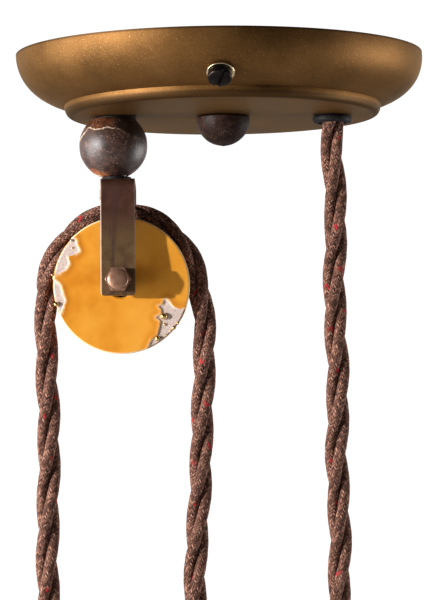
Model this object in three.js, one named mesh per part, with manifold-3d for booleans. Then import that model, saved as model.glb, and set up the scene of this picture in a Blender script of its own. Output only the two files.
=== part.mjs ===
// Ceiling rose of a rise-and-fall pendant lamp, with its hanging pulley, twisted flex and
// counterweight pulley. Millimetres, +Z up. The origin is the middle of the face that meets
// the ceiling; everything hangs below it.
// +X runs along the row of holes in the rose's flat bottom, towards the flex outlet.
import * as THREE from 'three';
import { mergeVertices } from 'three/addons/utils/BufferGeometryUtils.js';
import Module from 'manifold-3d';

const wasm = await Module();
wasm.setup();

// ---- Driving dimensions ----

const GAP = 0.3; // between pieces that touch
const ROD_RADIUS = 3; // M6 hanger rods
const ROD_HOLE = ROD_RADIUS + GAP;
const ROD_NUT = 10; // across flats
const AXLE_RADIUS = 2; // M4 axle bolts
const AXLE_HOLE = AXLE_RADIUS + GAP;
const AXLE_NUT = 6.7; // across flats
const STUD_RADIUS = 2.5; // M5 stud of the dome cap
const STUD_NUT = 8; // across flats

const ROSE = {
  radius: 60,
  depth: 18.4, // ceiling to flat bottom
  sheet: 1,
  ledge: 15.2, // depth of the ledge above the bottom tier
  tierRadius: 46.7,
  flatRadius: 44.4,
};
const HOLE_PITCH = 32.2; // from the middle hole to the flex outlet
const SHEET_TOP = -ROSE.depth + ROSE.sheet;

const SIDE_SCREW = {
  x: -0.9,
  y: 53.8,
  z: -12.05,
  tilt: THREE.MathUtils.degToRad(55), // below the horizontal
  headRadius: 3.5,
  headHeight: 2.1,
  slotTurn: THREE.MathUtils.degToRad(-17),
  shank: 9,
};

const BRACKET = { thickness: 1.5, width: 12, end: 56.2, tabTop: [54.9, -7], tabLength: 9.5 };

const DOME = { radius: 7.9, band: 0.55 };
const GROMMET = { radius: 5.8, flange: 2, bore: 3.95, neck: 5 };

const HANGER_X = -31.6; // the rod that carries the pulley
const BALL = { x: -32.5, z: -26.75, radius: 10.1, up: 7.55, down: 9.3, bore: 3.5 };

const YOKE = {
  x: -31.1,
  top: -37.75, // upper face of the bridge
  width: 10.1,
  thickness: 1.6,
  inside: 23,
  bend: 2.6, // outer radius of the two bends
  axleDrop: 29.95, // bridge face to axle
  armEnd: 4.6, // axle to the end of the arms
  corner: 1,
};
const AXLE_Z = YOKE.top - YOKE.axleDrop;

// The bore is loose on the bolt, so the pulley hangs below the axle and leans towards the front at the top.
const WHEEL = {
  x: -30.3,
  z: -68.25,
  lean: THREE.MathUtils.degToRad(5.2),
  radius: 20.1,
  width: 13,
  groove: 8,
  root: 16.4,
  bore: 3.5,
};
const CORD_DIAMETER = 7.25; // over the three twisted strands

const COUNTER = { x: 11.2, wheelZ: -187.5, weightRadius: 19, weightTop: -222, weightHeight: 34 };
const COUNTER_AXLE_Z = COUNTER.wheelZ - 1.2; // the flex lifts the wheel until its bore meets the bolt
const COUNTER_BRIDGE_Z = COUNTER_AXLE_Z - YOKE.axleDrop;

const LAMP = {
  x: -52.6,
  gripTop: -173,
  gripHeight: 19,
  gripRadius: 7,
  nippleLength: 17,
  nippleRadius: 4.85,
};

// ---- The flex's route, as [x, z] points on its centre line ----

const RIGHT_RUN = [
  [32.2, -18.9], [31.9, -24], [32.6, -37], [33, -50], [32.4, -64], [32.4, -78], [33, -92], [32.9, -105],
  [32.4, -119], [32.9, -133], [33.1, -147], [32.6, -160], [32.4, -175], [32.2, -187.2],
];
const UNDER_COUNTER_WHEEL = [
  [32.2, -187.6], [32.18, -188.4], [30.8, -194.6], [27, -200.7], [21.5, -205.3], [14.7, -207.75],
  [7.7, -207.75], [0.9, -205.3], [-4.6, -200.7], [-8.4, -194.6], [-9.78, -188.4], [-9.8, -187.6],
];
const MIDDLE_RUN = [
  [-9.8, -187.2], [-9.7, -174], [-9.5, -160], [-9.15, -148], [-8.3, -136], [-7.5, -124], [-7.15, -112],
  [-6.55, -100], [-6.1, -88], [-5.9, -84.5],
];
const OVER_PULLEY = [
  [-5.9, -84.1], [-5.93, -83], [-6.4, -76.5], [-7.6, -68.7], [-9.85, -61.1], [-13.95, -54.8], [-19.7, -50],
  [-26.65, -47.55], [-33.9, -47.65], [-40.85, -50.3], [-46.5, -55.1], [-50.5, -61.4], [-52.47, -67.9],
  [-52.5, -68.7],
];
const LEFT_RUN = [
  [-52.5, -69.1], [-52.7, -83], [-52.4, -96], [-52, -109], [-52.1, -122], [-52.4, -135], [-52.65, -148],
  [-52.55, -160], [-52.6, -176],
];

// ---- Materials ----

function material(color, roughness, metalness) {
  return new THREE.MeshStandardMaterial({ color, roughness, metalness });
}
const bronze = material(0x6e5428, 0.5, 0.35);
const strapBronze = material(0x4a3628, 0.5, 0.4);
const copperBronze = material(0x6b4631, 0.4, 0.6);
const blackSteel = material(0x17120f, 0.35, 0.7);
const zinc = material(0xc9c4b4, 0.35, 0.9);
const brass = material(0xc8a860, 0.35, 0.9);
const rustGlaze = material(0x3d2620, 0.35, 0);
const yellowGlaze = material(0xf1a233, 0.22, 0);
const blackRubber = material(0x151312, 0.6, 0);
const whitePlastic = material(0xd9d6cc, 0.45, 0);
const flex = material(0x5e4038, 0.9, 0);
const liveWire = material(0x5a3a22, 0.6, 0);
const neutralWire = material(0x2c4f8c, 0.6, 0);
const earthWire = material(0x6f8f2c, 0.6, 0);
const weightBronze = material(0x5f4526, 0.55, 0.35);

// ---- Geometry helpers ----

const X = new THREE.Vector3(1, 0, 0);
const Y = new THREE.Vector3(0, 1, 0);
const Z = new THREE.Vector3(0, 0, 1);

function toSolid(geometry) {
  const bare = geometry.clone();
  bare.deleteAttribute('normal');
  bare.deleteAttribute('uv');
  const merged = mergeVertices(bare, 1e-4);
  const corners = merged.index.array;
  const kept = [];
  for (let i = 0; i < corners.length; i += 3) {
    const [a, b, c] = corners.slice(i, i + 3);
    if (a !== b && b !== c && c !== a) kept.push(a, b, c);
  }
  return new wasm.Manifold(
    new wasm.Mesh({
      numProp: 3,
      vertProperties: new Float32Array(merged.attributes.position.array),
      triVerts: new Uint32Array(kept),
    }),
  );
}

function toGeometry(solid) {
  const mesh = solid.getMesh();
  const geometry = new THREE.BufferGeometry();
  geometry.setAttribute('position', new THREE.BufferAttribute(mesh.vertProperties, 3));
  geometry.setIndex(new THREE.BufferAttribute(mesh.triVerts, 1));
  geometry.computeVertexNormals();
  return geometry;
}

function cut(geometry, ...tools) {
  return toGeometry(tools.reduce((solid, tool) => solid.subtract(toSolid(tool)), toSolid(geometry)));
}

function join(...geometries) {
  const solids = geometries.map(toSolid);
  return toGeometry(solids.reduce((whole, solid) => whole.add(solid)));
}

function overlap(geometry, other) {
  return toGeometry(toSolid(geometry).intersect(toSolid(other)));
}

// Turns a profile of [radius, height] points about Z. The points run anticlockwise round the material.
function revolve(profile, segments = 24) {
  const points = profile.map(([radius, height]) => new THREE.Vector2(radius, height));
  return new THREE.LatheGeometry(points, segments).rotateX(Math.PI / 2);
}

function ring(inner, outer, low, high, segments = 16) {
  return revolve([[inner, low], [outer, low], [outer, high], [inner, high], [inner, low]], segments);
}

function rod(radius, low, high, segments = 16) {
  return revolve([[0, low], [radius, low], [radius, high], [0, high]], segments);
}

// A cubic curve sampled into [radius, height] points.
function bend(corners, steps) {
  const curve = new THREE.CubicBezierCurve(...corners.map(([r, h]) => new THREE.Vector2(r, h)));
  return curve.getPoints(steps).map((p) => [p.x, p.y]);
}

function circleArc(x, y, radius, from, to, steps) {
  const points = [];
  for (let i = 0; i <= steps; i += 1) {
    const angle = THREE.MathUtils.degToRad(from + ((to - from) * i) / steps);
    points.push([x + radius * Math.cos(angle), y + radius * Math.sin(angle)]);
  }
  return points;
}

// A flat outline pushed `width` thick along X, centred on x = 0; its points are [y, z].
function slabAlongX(outline, width) {
  const shape = new THREE.Shape(outline.map(([y, z]) => new THREE.Vector2(y, z)));
  const geometry = new THREE.ExtrudeGeometry(shape, { depth: width, bevelEnabled: false });
  return geometry.translate(0, 0, -width / 2).applyMatrix4(new THREE.Matrix4().makeBasis(Y, Z, X));
}

// The outline of a strip of sheet metal whose centre line follows `path`, with mitred bends.
function stripOutline(path, thickness) {
  const normals = path.slice(1).map(([y, z], i) => {
    const along = new THREE.Vector2(y - path[i][0], z - path[i][1]).normalize();
    return new THREE.Vector2(-along.y, along.x);
  });
  const side = (sign) =>
    path.map(([y, z], i) => {
      const before = normals[Math.max(i - 1, 0)];
      const after = normals[Math.min(i, normals.length - 1)];
      const mitre = before.clone().add(after).normalize();
      const reach = (sign * thickness) / 2 / mitre.dot(after);
      return [y + mitre.x * reach, z + mitre.y * reach];
    });
  return [...side(1), ...side(-1).reverse()];
}

function hexagon(acrossFlats) {
  const corners = circleArc(0, 0, acrossFlats / Math.sqrt(3), 0, 300, 5);
  return new THREE.Shape(corners.map(([x, y]) => new THREE.Vector2(x, y)));
}

function hexPrism(acrossFlats, low, high) {
  const settings = { depth: high - low, bevelEnabled: false };
  return new THREE.ExtrudeGeometry(hexagon(acrossFlats), settings).translate(0, 0, low);
}

function hexNut(acrossFlats, bore, low, high) {
  return cut(hexPrism(acrossFlats, low, high), rod(bore, low - 1, high + 1, 16));
}

function slottedHead(radius, low, high, slotTurn) {
  const slot = new THREE.BoxGeometry(1.1, 3 * radius, 1.1).rotateZ(slotTurn).translate(0, 0, high - 0.45);
  return cut(rod(radius, low, high, 16), slot);
}

// A tube of plain cord along [x, z] points, in the plane y = 0 unless `sideways` gives a y for each height.
function cordTube(route, steps, sideways = () => 0) {
  const curve = new THREE.CatmullRomCurve3(route.map(([x, z]) => new THREE.Vector3(x, sideways(z), z)));
  const section = new THREE.Shape().absarc(0, 0, CORD_DIAMETER / 2, 0, 2 * Math.PI);
  return new THREE.ExtrudeGeometry(section, { steps, curveSegments: 5, extrudePath: curve });
}

function wireTube(points, radius, steps) {
  const curve = new THREE.CatmullRomCurve3(points);
  const section = new THREE.Shape().absarc(0, 0, radius, 0, 2 * Math.PI);
  return new THREE.ExtrudeGeometry(section, { steps, curveSegments: 4, extrudePath: curve });
}

// ---- Assembly ----

const assembly = new THREE.Group();

function piece(parent, name, geometry, look, x = 0, y = 0, z = 0) {
  const mesh = new THREE.Mesh(geometry, look);
  mesh.name = name;
  mesh.position.set(x, y, z);
  parent.add(mesh);
  return mesh;
}

// A group whose local +Z points along `direction` from `origin`.
function placed(origin, direction) {
  const group = new THREE.Group();
  group.position.set(...origin);
  group.quaternion.setFromUnitVectors(Z, new THREE.Vector3(...direction).normalize());
  assembly.add(group);
  return group;
}

function addRose() {
  const { radius, depth, sheet, ledge, tierRadius, flatRadius } = ROSE;
  const bowl = bend([[radius, 0], [radius + 0.15, -3], [radius - 0.5, -11.9], [tierRadius, -ledge]], 6);
  const tier = bend(
    [[tierRadius, -ledge], [tierRadius, -17.1], [flatRadius + 1.6, -depth], [flatRadius, -depth]],
    3,
  );
  const [innerRadius, innerTierRadius] = [radius - sheet, tierRadius - sheet];
  const innerTier = bend([
    [flatRadius - 0.5, SHEET_TOP], [flatRadius + 0.8, SHEET_TOP], [innerTierRadius, -16.2],
    [innerTierRadius, -ledge],
  ], 2);
  const innerBowl = bend([
    [innerTierRadius + 0.1, sheet - ledge], [innerRadius - 0.7, -11], [innerRadius + 0.1, -3],
    [innerRadius, 0],
  ], 5);
  const outside = [...bowl.slice(1), ...tier.slice(1)].reverse();
  const inside = [...innerBowl.reverse(), ...innerTier.reverse(), [0, SHEET_TOP]];
  const shell = revolve([[0, -depth], ...outside, [radius, 0], ...inside], 44);
  const screwHoles = [-1, 1].map((side) => {
    const hole = rod(2.4, -4, 4, 12);
    hole.applyQuaternion(new THREE.Quaternion().setFromUnitVectors(Z, sideNormal(side)));
    return hole.translate(SIDE_SCREW.x, side * SIDE_SCREW.y, SIDE_SCREW.z);
  });
  const hangerHole = rod(3.5, -20, -15, 16).translate(HANGER_X, 0, 0);
  const domeHole = rod(2.9, -20, -15, 16);
  const flexHole = rod(5.3, -20, -15, 16).translate(HOLE_PITCH, 0, 0);
  piece(assembly, 'canopy', cut(shell, ...screwHoles, hangerHole, domeHole, flexHole), bronze);
}

function sideNormal(side) {
  return new THREE.Vector3(0, side * Math.cos(SIDE_SCREW.tilt), -Math.sin(SIDE_SCREW.tilt));
}

function addSideScrews() {
  const { headRadius, headHeight, slotTurn, shank } = SIDE_SCREW;
  const washerTop = 2 * GAP + 0.6;
  for (const [name, side] of [['front', -1], ['back', 1]]) {
    const group = placed([SIDE_SCREW.x, side * SIDE_SCREW.y, SIDE_SCREW.z], sideNormal(side).toArray());
    const head = slottedHead(headRadius, washerTop, washerTop + headHeight, slotTurn);
    const screw = join(head, rod(AXLE_RADIUS, washerTop + 0.3 - shank, washerTop + 0.3, 12));
    piece(group, `side_screw_${name}`, screw, blackSteel);
    piece(group, `side_washer_${name}`, ring(2.4, 4.2, GAP, GAP + 0.6), brass);
  }
}

function addBracket() {
  const { thickness, width, end, tabTop, tabLength } = BRACKET;
  const tabEnd = [
    tabTop[0] - tabLength * Math.sin(SIDE_SCREW.tilt),
    tabTop[1] - tabLength * Math.cos(SIDE_SCREW.tilt),
  ];
  const half = [tabEnd, tabTop, [end, -thickness / 2]];
  const path = [...half, ...half.map(([y, z]) => [-y, z]).reverse()];
  const strip = slabAlongX(stripOutline(path, thickness), width);
  const slots = [-1, 1].map((side) => {
    const outline = [
      ...circleArc(0, side * 30 + 5, 2.25, 0, 180, 6),
      ...circleArc(0, side * 30 - 5, 2.25, 180, 360, 6),
    ].map(([x, y]) => new THREE.Vector2(x, y));
    const slot = new THREE.ExtrudeGeometry(new THREE.Shape(outline), { depth: 4, bevelEnabled: false });
    return slot.translate(0, 0, -3);
  });
  const cableHole = rod(4, -3, 1, 16).translate(0, 14, 0);
  const earthHole = rod(1.9, -3, 1, 12).translate(0, -14, 0);
  const tabHoles = [-1, 1].map((side) => {
    const hole = rod(2.3, -8, 1, 12);
    hole.applyQuaternion(new THREE.Quaternion().setFromUnitVectors(Z, sideNormal(side)));
    return hole.translate(SIDE_SCREW.x, side * SIDE_SCREW.y, SIDE_SCREW.z);
  });
  piece(assembly, 'ceiling_bracket', cut(strip, ...slots, cableHole, earthHole, ...tabHoles), zinc);
  const earthScrew = join(slottedHead(2.8, 0, 2, 0), rod(1.6, -1.6, 0.5, 12)).rotateX(Math.PI);
  piece(assembly, 'earth_screw', earthScrew, brass, 0, -14, -thickness - GAP);
}

function addDome() {
  const bottom = -ROSE.depth - GAP;
  const band = bottom - DOME.band;
  const bore = STUD_RADIUS + GAP;
  const round = circleArc(0, band, DOME.radius, -90, 0, 5);
  const socket = [[DOME.radius, bottom], [bore, bottom], [bore, bottom - 5], [0, bottom - 5]];
  piece(assembly, 'dome_cap', revolve([...round, ...socket], 20), rustGlaze);
  piece(assembly, 'dome_stud', rod(STUD_RADIUS, bottom - 4.6, -9.6, 16), zinc);
  const washerTop = SHEET_TOP + GAP + 1;
  piece(assembly, 'dome_washer', ring(bore, 5.5, SHEET_TOP + GAP, washerTop), zinc);
  piece(assembly, 'dome_nut', hexNut(STUD_NUT, bore, washerTop + GAP, washerTop + GAP + 4), zinc);
}

function addFlexOutlet() {
  const { radius, flange, bore, neck } = GROMMET;
  const low = -ROSE.depth - GAP;
  const high = SHEET_TOP + GAP;
  const profile = [
    [bore, low - flange], [radius - 0.6, low - flange], [radius, low - flange + 0.6], [radius, low - 0.3],
    [radius - 0.3, low], [neck, low], [neck, high], [radius, high], [radius, high + 1], [bore, high + 1],
    [bore, low - flange],
  ];
  piece(assembly, 'cord_grommet', revolve(profile, 20), blackRubber, HOLE_PITCH);
  const clampLow = high + 1 + GAP;
  const screwHole = rod(1.8, 2, 12, 12).rotateY(-Math.PI / 2).translate(0, 0, clampLow + 3);
  const clamp = cut(ring(bore, 8, clampLow, clampLow + 6, 20), screwHole);
  piece(assembly, 'cord_clamp', clamp, whitePlastic, HOLE_PITCH);
  const screw = join(slottedHead(2.6, 8.3, 10.3, 0), rod(1.5, bore + GAP, 8.8, 12)).rotateY(-Math.PI / 2);
  piece(assembly, 'clamp_screw', screw, zinc, HOLE_PITCH, 0, clampLow + 3);
}

function addTerminals() {
  const block = { x: 0, y: 27, low: SHEET_TOP + GAP, width: 14, length: 26, height: 10, pitch: 8.4 };
  const wireZ = block.low + 4;
  const rows = [-1, 0, 1].map((i) => block.y + i * block.pitch);
  const body = new THREE.BoxGeometry(block.width, block.length, block.height);
  body.translate(block.x, block.y, block.low + block.height / 2);
  const bores = rows.map((y) => rod(1.5, 0, 6, 12).rotateY(Math.PI / 2).translate(block.x + 2, y, wireZ));
  const wells = rows.map((y) => rod(2.2, wireZ, wireZ + 10, 12).translate(block.x - 3, y, 0));
  piece(assembly, 'terminal_block', cut(body, ...bores, ...wells), whitePlastic);
  const wires = [
    ['live', liveWire],
    ['neutral', neutralWire],
    ['earth', earthWire],
  ];
  const cordTop = SHEET_TOP + 2 * GAP + 7 + GAP;
  wires.forEach(([name, look], i) => {
    const screw = slottedHead(1.9, wireZ + 1.4, wireZ + 4.5, 0.6);
    piece(assembly, `terminal_screw_${name}`, screw, brass, block.x - 3, rows[i]);
    const angle = THREE.MathUtils.degToRad(248 - 120 * i);
    const start = new THREE.Vector3(HOLE_PITCH + 1.9 * Math.cos(angle), 1.9 * Math.sin(angle), cordTop);
    const port = new THREE.Vector3(block.x + 11, rows[i], cordTop);
    const along = port.clone().sub(start).normalize();
    const lifted = (rise) => start.clone().addScaledVector(Z, rise);
    const reached = (distance, rise) => lifted(rise).addScaledVector(along, distance);
    const route = [
      start,
      reached(0.4, 1.5),
      reached(2.6, 3.2),
      reached(7, 3.5),
      reached(start.distanceTo(port) - 6, 0.4),
      new THREE.Vector3(port.x - 1, port.y, wireZ + 0.5),
      new THREE.Vector3(block.x + 3, port.y, wireZ),
    ];
    piece(assembly, `wire_${name}`, wireTube(route, 1, 10), look);
  });
  const tail = rod(CORD_DIAMETER / 2, -ROSE.depth - 0.2, cordTop - GAP, 12);
  piece(assembly, 'cord_tail', tail, flex, HOLE_PITCH);
}

function addHanger() {
  const washerLow = SHEET_TOP + GAP;
  const nutLow = washerLow + 1.2 + GAP;
  const jamTop = YOKE.top - YOKE.thickness - GAP;
  const jamBottom = jamTop - 3.2;
  piece(assembly, 'hanger_washer', ring(ROD_HOLE, 6, washerLow, washerLow + 1.2), zinc, HANGER_X);
  piece(assembly, 'hanger_nut', hexNut(ROD_NUT, ROD_HOLE, nutLow, nutLow + 5), zinc, HANGER_X);
  piece(assembly, 'hanger_rod', rod(ROD_RADIUS, jamBottom - 0.4, nutLow + 7), zinc, HANGER_X);
  const { up, down, radius, bore } = BALL;
  const latitude = (height) => THREE.MathUtils.radToDeg(Math.asin(height / radius));
  const round = circleArc(0, 0, radius, latitude(-down), latitude(up), 8);
  const hole = rod(bore, -radius, radius).translate(HANGER_X - BALL.x, 0, 0);
  const ball = cut(revolve([[0, -down], ...round, [0, up]], 24), hole);
  piece(assembly, 'hanger_ball', ball, rustGlaze, BALL.x, 0, BALL.z);
  const washer = ring(ROD_HOLE, 4.3, YOKE.top + 0.2, BALL.z - down - 0.2);
  piece(assembly, 'ball_washer', washer, blackRubber, HANGER_X);
  const seat = ring(ROD_HOLE, 6, BALL.z + up + 0.2, -ROSE.depth - 0.2);
  piece(assembly, 'ball_seat', seat, blackRubber, HANGER_X);
  // Turned so that a flat faces each side in X.
  const jamNut = hexNut(ROD_NUT, ROD_HOLE, jamBottom, jamTop).rotateZ(Math.PI / 6);
  piece(assembly, 'jam_nut', jamNut, strapBronze, HANGER_X);
}

// The U of strap that straddles a wheel, bridge at the top, in its own frame: z = 0 is the
// bridge's outer face.
function yokeStrap() {
  const { width, thickness, inside, bend: outer, axleDrop, armEnd, corner } = YOKE;
  const armY = inside / 2 + thickness / 2;
  const centreRadius = outer - thickness / 2;
  const low = -axleDrop - armEnd;
  const halfBridge = armY - centreRadius;
  const path = [
    [armY, low],
    ...circleArc(halfBridge, -outer, centreRadius, 0, 90, 5),
    ...circleArc(-halfBridge, -outer, centreRadius, 90, 180, 5),
    [-armY, low],
  ];
  const strap = slabAlongX(stripOutline(path, thickness), width);
  const half = width / 2;
  const face = new THREE.Shape([
    ...circleArc(corner - half, low + corner, corner, 180, 270, 3),
    ...circleArc(half - corner, low + corner, corner, 270, 360, 3),
    [half, 1],
    [-half, 1],
  ].map(([x, z]) => new THREE.Vector2(x, z)));
  const trim = new THREE.ExtrudeGeometry(face, { depth: 30, bevelEnabled: false })
    .translate(0, 0, -15)
    .applyMatrix4(new THREE.Matrix4().makeBasis(X, Z, Y.clone().negate()));
  const axleHole = rod(AXLE_HOLE, -15, 15, 16).rotateX(Math.PI / 2).translate(0, 0, -axleDrop);
  return cut(overlap(strap, trim), axleHole, rod(ROD_RADIUS + 0.8, -4, 1, 16));
}

// Axle bolt with its domed hexagon head in front, nut behind and a spacer on each side, through [x, z].
function addAxle(prefix, x, z) {
  const arm = YOKE.inside / 2 + YOKE.thickness + GAP;
  const group = placed([x, 0, z], [0, -1, 0]);
  const low = arm + 2;
  const dome = revolve([[0, low], [3.3, low], [3.1, low + 0.7], [2.1, low + 1.1], [0, low + 1.3]], 18);
  const head = join(hexPrism(AXLE_NUT, arm, low + 0.4), dome);
  piece(group, `${prefix}axle_bolt`, join(head, rod(AXLE_RADIUS, -arm - 4, arm + 0.5)), copperBronze);
  piece(group, `${prefix}axle_nut`, hexNut(AXLE_NUT, AXLE_HOLE, -arm - 3.2, -arm), copperBronze);
  const near = WHEEL.width / 2 + 2 * GAP;
  const far = YOKE.inside / 2 - GAP;
  piece(group, `${prefix}axle_spacer_front`, ring(AXLE_HOLE, 4, near, far), blackSteel);
  piece(group, `${prefix}axle_spacer_back`, ring(AXLE_HOLE, 4, -far, -near), blackSteel);
}

function grooveWheel() {
  const { radius, width, groove, root, bore } = WHEEL;
  const face = width / 2;
  const lip = groove / 2;
  const edge = 0.6;
  const floor = circleArc(root + 3.4, 0, 3.4, 230, 130, 4);
  const profile = [
    [bore, -face], [radius - edge, -face], [radius, -face + edge], [radius, -lip],
    ...floor,
    [radius, lip], [radius, face - edge], [radius - edge, face], [bore, face], [bore, -face],
  ];
  return revolve(profile, 32).rotateX(-Math.PI / 2);
}

function addPulley() {
  piece(assembly, 'yoke', yokeStrap(), strapBronze, YOKE.x, 0, YOKE.top);
  addAxle('', YOKE.x, AXLE_Z);
  piece(assembly, 'pulley_wheel', grooveWheel().rotateX(WHEEL.lean), yellowGlaze, WHEEL.x, 0, WHEEL.z);
}

function addCounterweight() {
  const { x, wheelZ, weightRadius, weightTop, weightHeight } = COUNTER;
  const nutLow = COUNTER_BRIDGE_Z + YOKE.thickness + GAP;
  const weightLow = weightTop - weightHeight;
  piece(assembly, 'counter_wheel', grooveWheel(), yellowGlaze, x, 0, wheelZ);
  piece(assembly, 'counter_yoke', yokeStrap().rotateX(Math.PI), strapBronze, x, 0, COUNTER_BRIDGE_Z);
  addAxle('counter_', x, COUNTER_AXLE_Z);
  piece(assembly, 'counter_jam_nut', hexNut(ROD_NUT, ROD_HOLE, nutLow, nutLow + 3.2), strapBronze, x);
  piece(assembly, 'counter_rod', rod(ROD_RADIUS, weightLow - 5, nutLow + 3.6), zinc, x);
  piece(assembly, 'counter_washer', ring(ROD_HOLE, 6, weightTop + GAP, COUNTER_BRIDGE_Z - GAP), zinc, x);
  const weight = revolve([
    [ROD_HOLE, weightLow], [weightRadius - 7, weightLow],
    ...bend([[weightRadius - 7, weightLow], [weightRadius - 2, weightLow], [weightRadius, weightLow + 4],
      [weightRadius, weightLow + 9]], 3).slice(1),
    ...bend([[weightRadius, weightTop - 9], [weightRadius, weightTop - 4], [weightRadius - 4, weightTop],
      [weightRadius - 10, weightTop]], 3),
    [ROD_HOLE, weightTop], [ROD_HOLE, weightLow],
  ], 24);
  piece(assembly, 'counter_weight', weight, weightBronze, x);
  const dome = revolve([[0, 2], [4.7, 2], [4.7, 5], [4.1, 7.2], [2.7, 8.8], [0, 9.6]], 16);
  const endNut = join(hexPrism(ROD_NUT, 0, 4), dome);
  const cap = cut(endNut, rod(ROD_HOLE, -1, 5.6, 16)).rotateX(Math.PI);
  piece(assembly, 'counter_end_nut', cap, copperBronze, x, 0, weightLow - GAP);
}

function addFlex() {
  const leaning = (z) => -Math.max(z - WHEEL.z, 0) * Math.tan(WHEEL.lean);
  piece(assembly, 'cord_right_run', cordTube(RIGHT_RUN, 16), flex);
  piece(assembly, 'cord_under_wheel', cordTube(UNDER_COUNTER_WHEEL, 16), flex);
  piece(assembly, 'cord_middle_run', cordTube(MIDDLE_RUN, 11), flex);
  piece(assembly, 'cord_over_wheel', cordTube(OVER_PULLEY, 18, leaning), flex);
  piece(assembly, 'cord_left_run', cordTube(LEFT_RUN, 10), flex);
}

function addLampGrip() {
  const { x, gripTop, gripHeight, gripRadius, nippleLength, nippleRadius } = LAMP;
  const low = gripTop - gripHeight;
  const bore = CORD_DIAMETER / 2 + GAP;
  const shell = revolve([
    [bore, low + 8], [nippleRadius + GAP, low + 8], [nippleRadius + GAP, low], [gripRadius, low],
    [gripRadius, low + 12], [gripRadius - 1.8, low + 16], [gripRadius - 2, gripTop], [bore, gripTop],
    [bore, low + 8],
  ], 20);
  const screwZ = low + 11;
  const screwHole = rod(1.8, 2, 10, 12).rotateX(Math.PI / 2).translate(0, 0, screwZ);
  piece(assembly, 'lamp_grip', cut(shell, screwHole), bronze, x);
  const grub = slottedHead(1.5, bore + GAP, gripRadius + 1.2, 0).rotateX(Math.PI / 2);
  piece(assembly, 'lamp_grip_screw', grub, blackSteel, x, 0, screwZ);
  const nippleTop = low + 8 - GAP;
  piece(assembly, 'lamp_nipple', ring(3.4, nippleRadius, nippleTop - nippleLength, nippleTop), zinc, x);
  const nutTop = low - 5;
  const ringNut = ring(nippleRadius + GAP, 8.5, nutTop - 3.5, nutTop, 20);
  piece(assembly, 'lamp_ring_nut', ringNut, copperBronze, x);
}

addRose();
addSideScrews();
addBracket();
addDome();
addFlexOutlet();
addTerminals();
addHanger();
addPulley();
addCounterweight();
addFlex();
addLampGrip();

export default assembly;
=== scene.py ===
"""A ceiling rose with a glazed pulley below it, a counterweight on a second pulley, and the flex between.

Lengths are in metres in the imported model's frame, except that the shapes of turned and bent pieces are drawn
in millimetres round their own origin and scaled when they become meshes.
"""

import math

import bpy
import numpy as np
from mathutils import Matrix, Vector, noise


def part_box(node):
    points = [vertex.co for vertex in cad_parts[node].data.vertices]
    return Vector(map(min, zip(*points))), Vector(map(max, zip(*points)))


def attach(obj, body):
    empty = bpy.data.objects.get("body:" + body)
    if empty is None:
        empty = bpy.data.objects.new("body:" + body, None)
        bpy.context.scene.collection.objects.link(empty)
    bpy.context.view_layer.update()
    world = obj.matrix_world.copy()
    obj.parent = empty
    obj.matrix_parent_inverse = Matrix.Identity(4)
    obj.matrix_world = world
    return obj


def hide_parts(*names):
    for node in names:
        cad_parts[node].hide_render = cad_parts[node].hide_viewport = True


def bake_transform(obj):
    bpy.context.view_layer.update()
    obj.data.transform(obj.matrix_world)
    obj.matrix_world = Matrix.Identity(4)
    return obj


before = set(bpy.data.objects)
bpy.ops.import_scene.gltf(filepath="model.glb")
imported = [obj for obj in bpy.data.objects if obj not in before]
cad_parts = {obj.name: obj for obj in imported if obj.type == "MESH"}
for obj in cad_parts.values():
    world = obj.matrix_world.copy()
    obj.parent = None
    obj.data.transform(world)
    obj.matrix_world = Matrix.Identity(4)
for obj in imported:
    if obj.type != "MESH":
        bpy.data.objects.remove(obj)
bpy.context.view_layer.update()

MM = 0.001
GAP = 0.3  # millimetres between pieces that touch
RIGHT_ANGLE = math.pi / 2


# ---- Camera ----

VIEW_DISTANCE = 1.4
VIEW_HEIGHT = 0.17663  # what the picture shows from top to bottom, at the middle of the rose
VIEW_AIM = Vector((-0.00157, 0, -0.07282))
VIEW_PITCH = math.radians(4.96)
VIEW_ROLL = math.radians(-0.535)
SENSOR = 36


def add_camera():
    data = bpy.data.cameras.new("camera")
    data.sensor_width = SENSOR
    data.lens = SENSOR * VIEW_DISTANCE / VIEW_HEIGHT
    data.clip_start = 0.05
    data.clip_end = 20
    camera = bpy.data.objects.new("camera", data)
    bpy.context.collection.objects.link(camera)
    turn = Matrix.Rotation(RIGHT_ANGLE + VIEW_PITCH, 4, "X") @ Matrix.Rotation(VIEW_ROLL, 4, "Z")
    forward = turn.to_3x3() @ Vector((0, 0, -1))
    camera.matrix_world = Matrix.Translation(VIEW_AIM - forward * VIEW_DISTANCE) @ turn
    bpy.context.scene.camera = camera


add_camera()


# ---- The flex: three braided strands twisted together ----

RIGHT_RUN = [
    (0.0322, -0.0189), (0.0319, -0.024), (0.0326, -0.037), (0.033, -0.05), (0.0324, -0.064),
    (0.0324, -0.078), (0.033, -0.092), (0.0329, -0.105), (0.0324, -0.119), (0.0329, -0.133),
    (0.0331, -0.147), (0.0326, -0.16), (0.0324, -0.175), (0.0322, -0.1872),
]
UNDER_COUNTER_WHEEL = [
    (0.0322, -0.1876), (0.03218, -0.1884), (0.0308, -0.1946), (0.027, -0.2007), (0.0215, -0.2053),
    (0.0147, -0.20775), (0.0077, -0.20775), (0.0009, -0.2053), (-0.0046, -0.2007), (-0.0084, -0.1946),
    (-0.00978, -0.1884), (-0.0098, -0.1876),
]
MIDDLE_RUN = [
    (-0.0098, -0.1872), (-0.0097, -0.174), (-0.0095, -0.16), (-0.00915, -0.148), (-0.0083, -0.136),
    (-0.0075, -0.124), (-0.00715, -0.112), (-0.00655, -0.1), (-0.0061, -0.088), (-0.0059, -0.0845),
]
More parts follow.
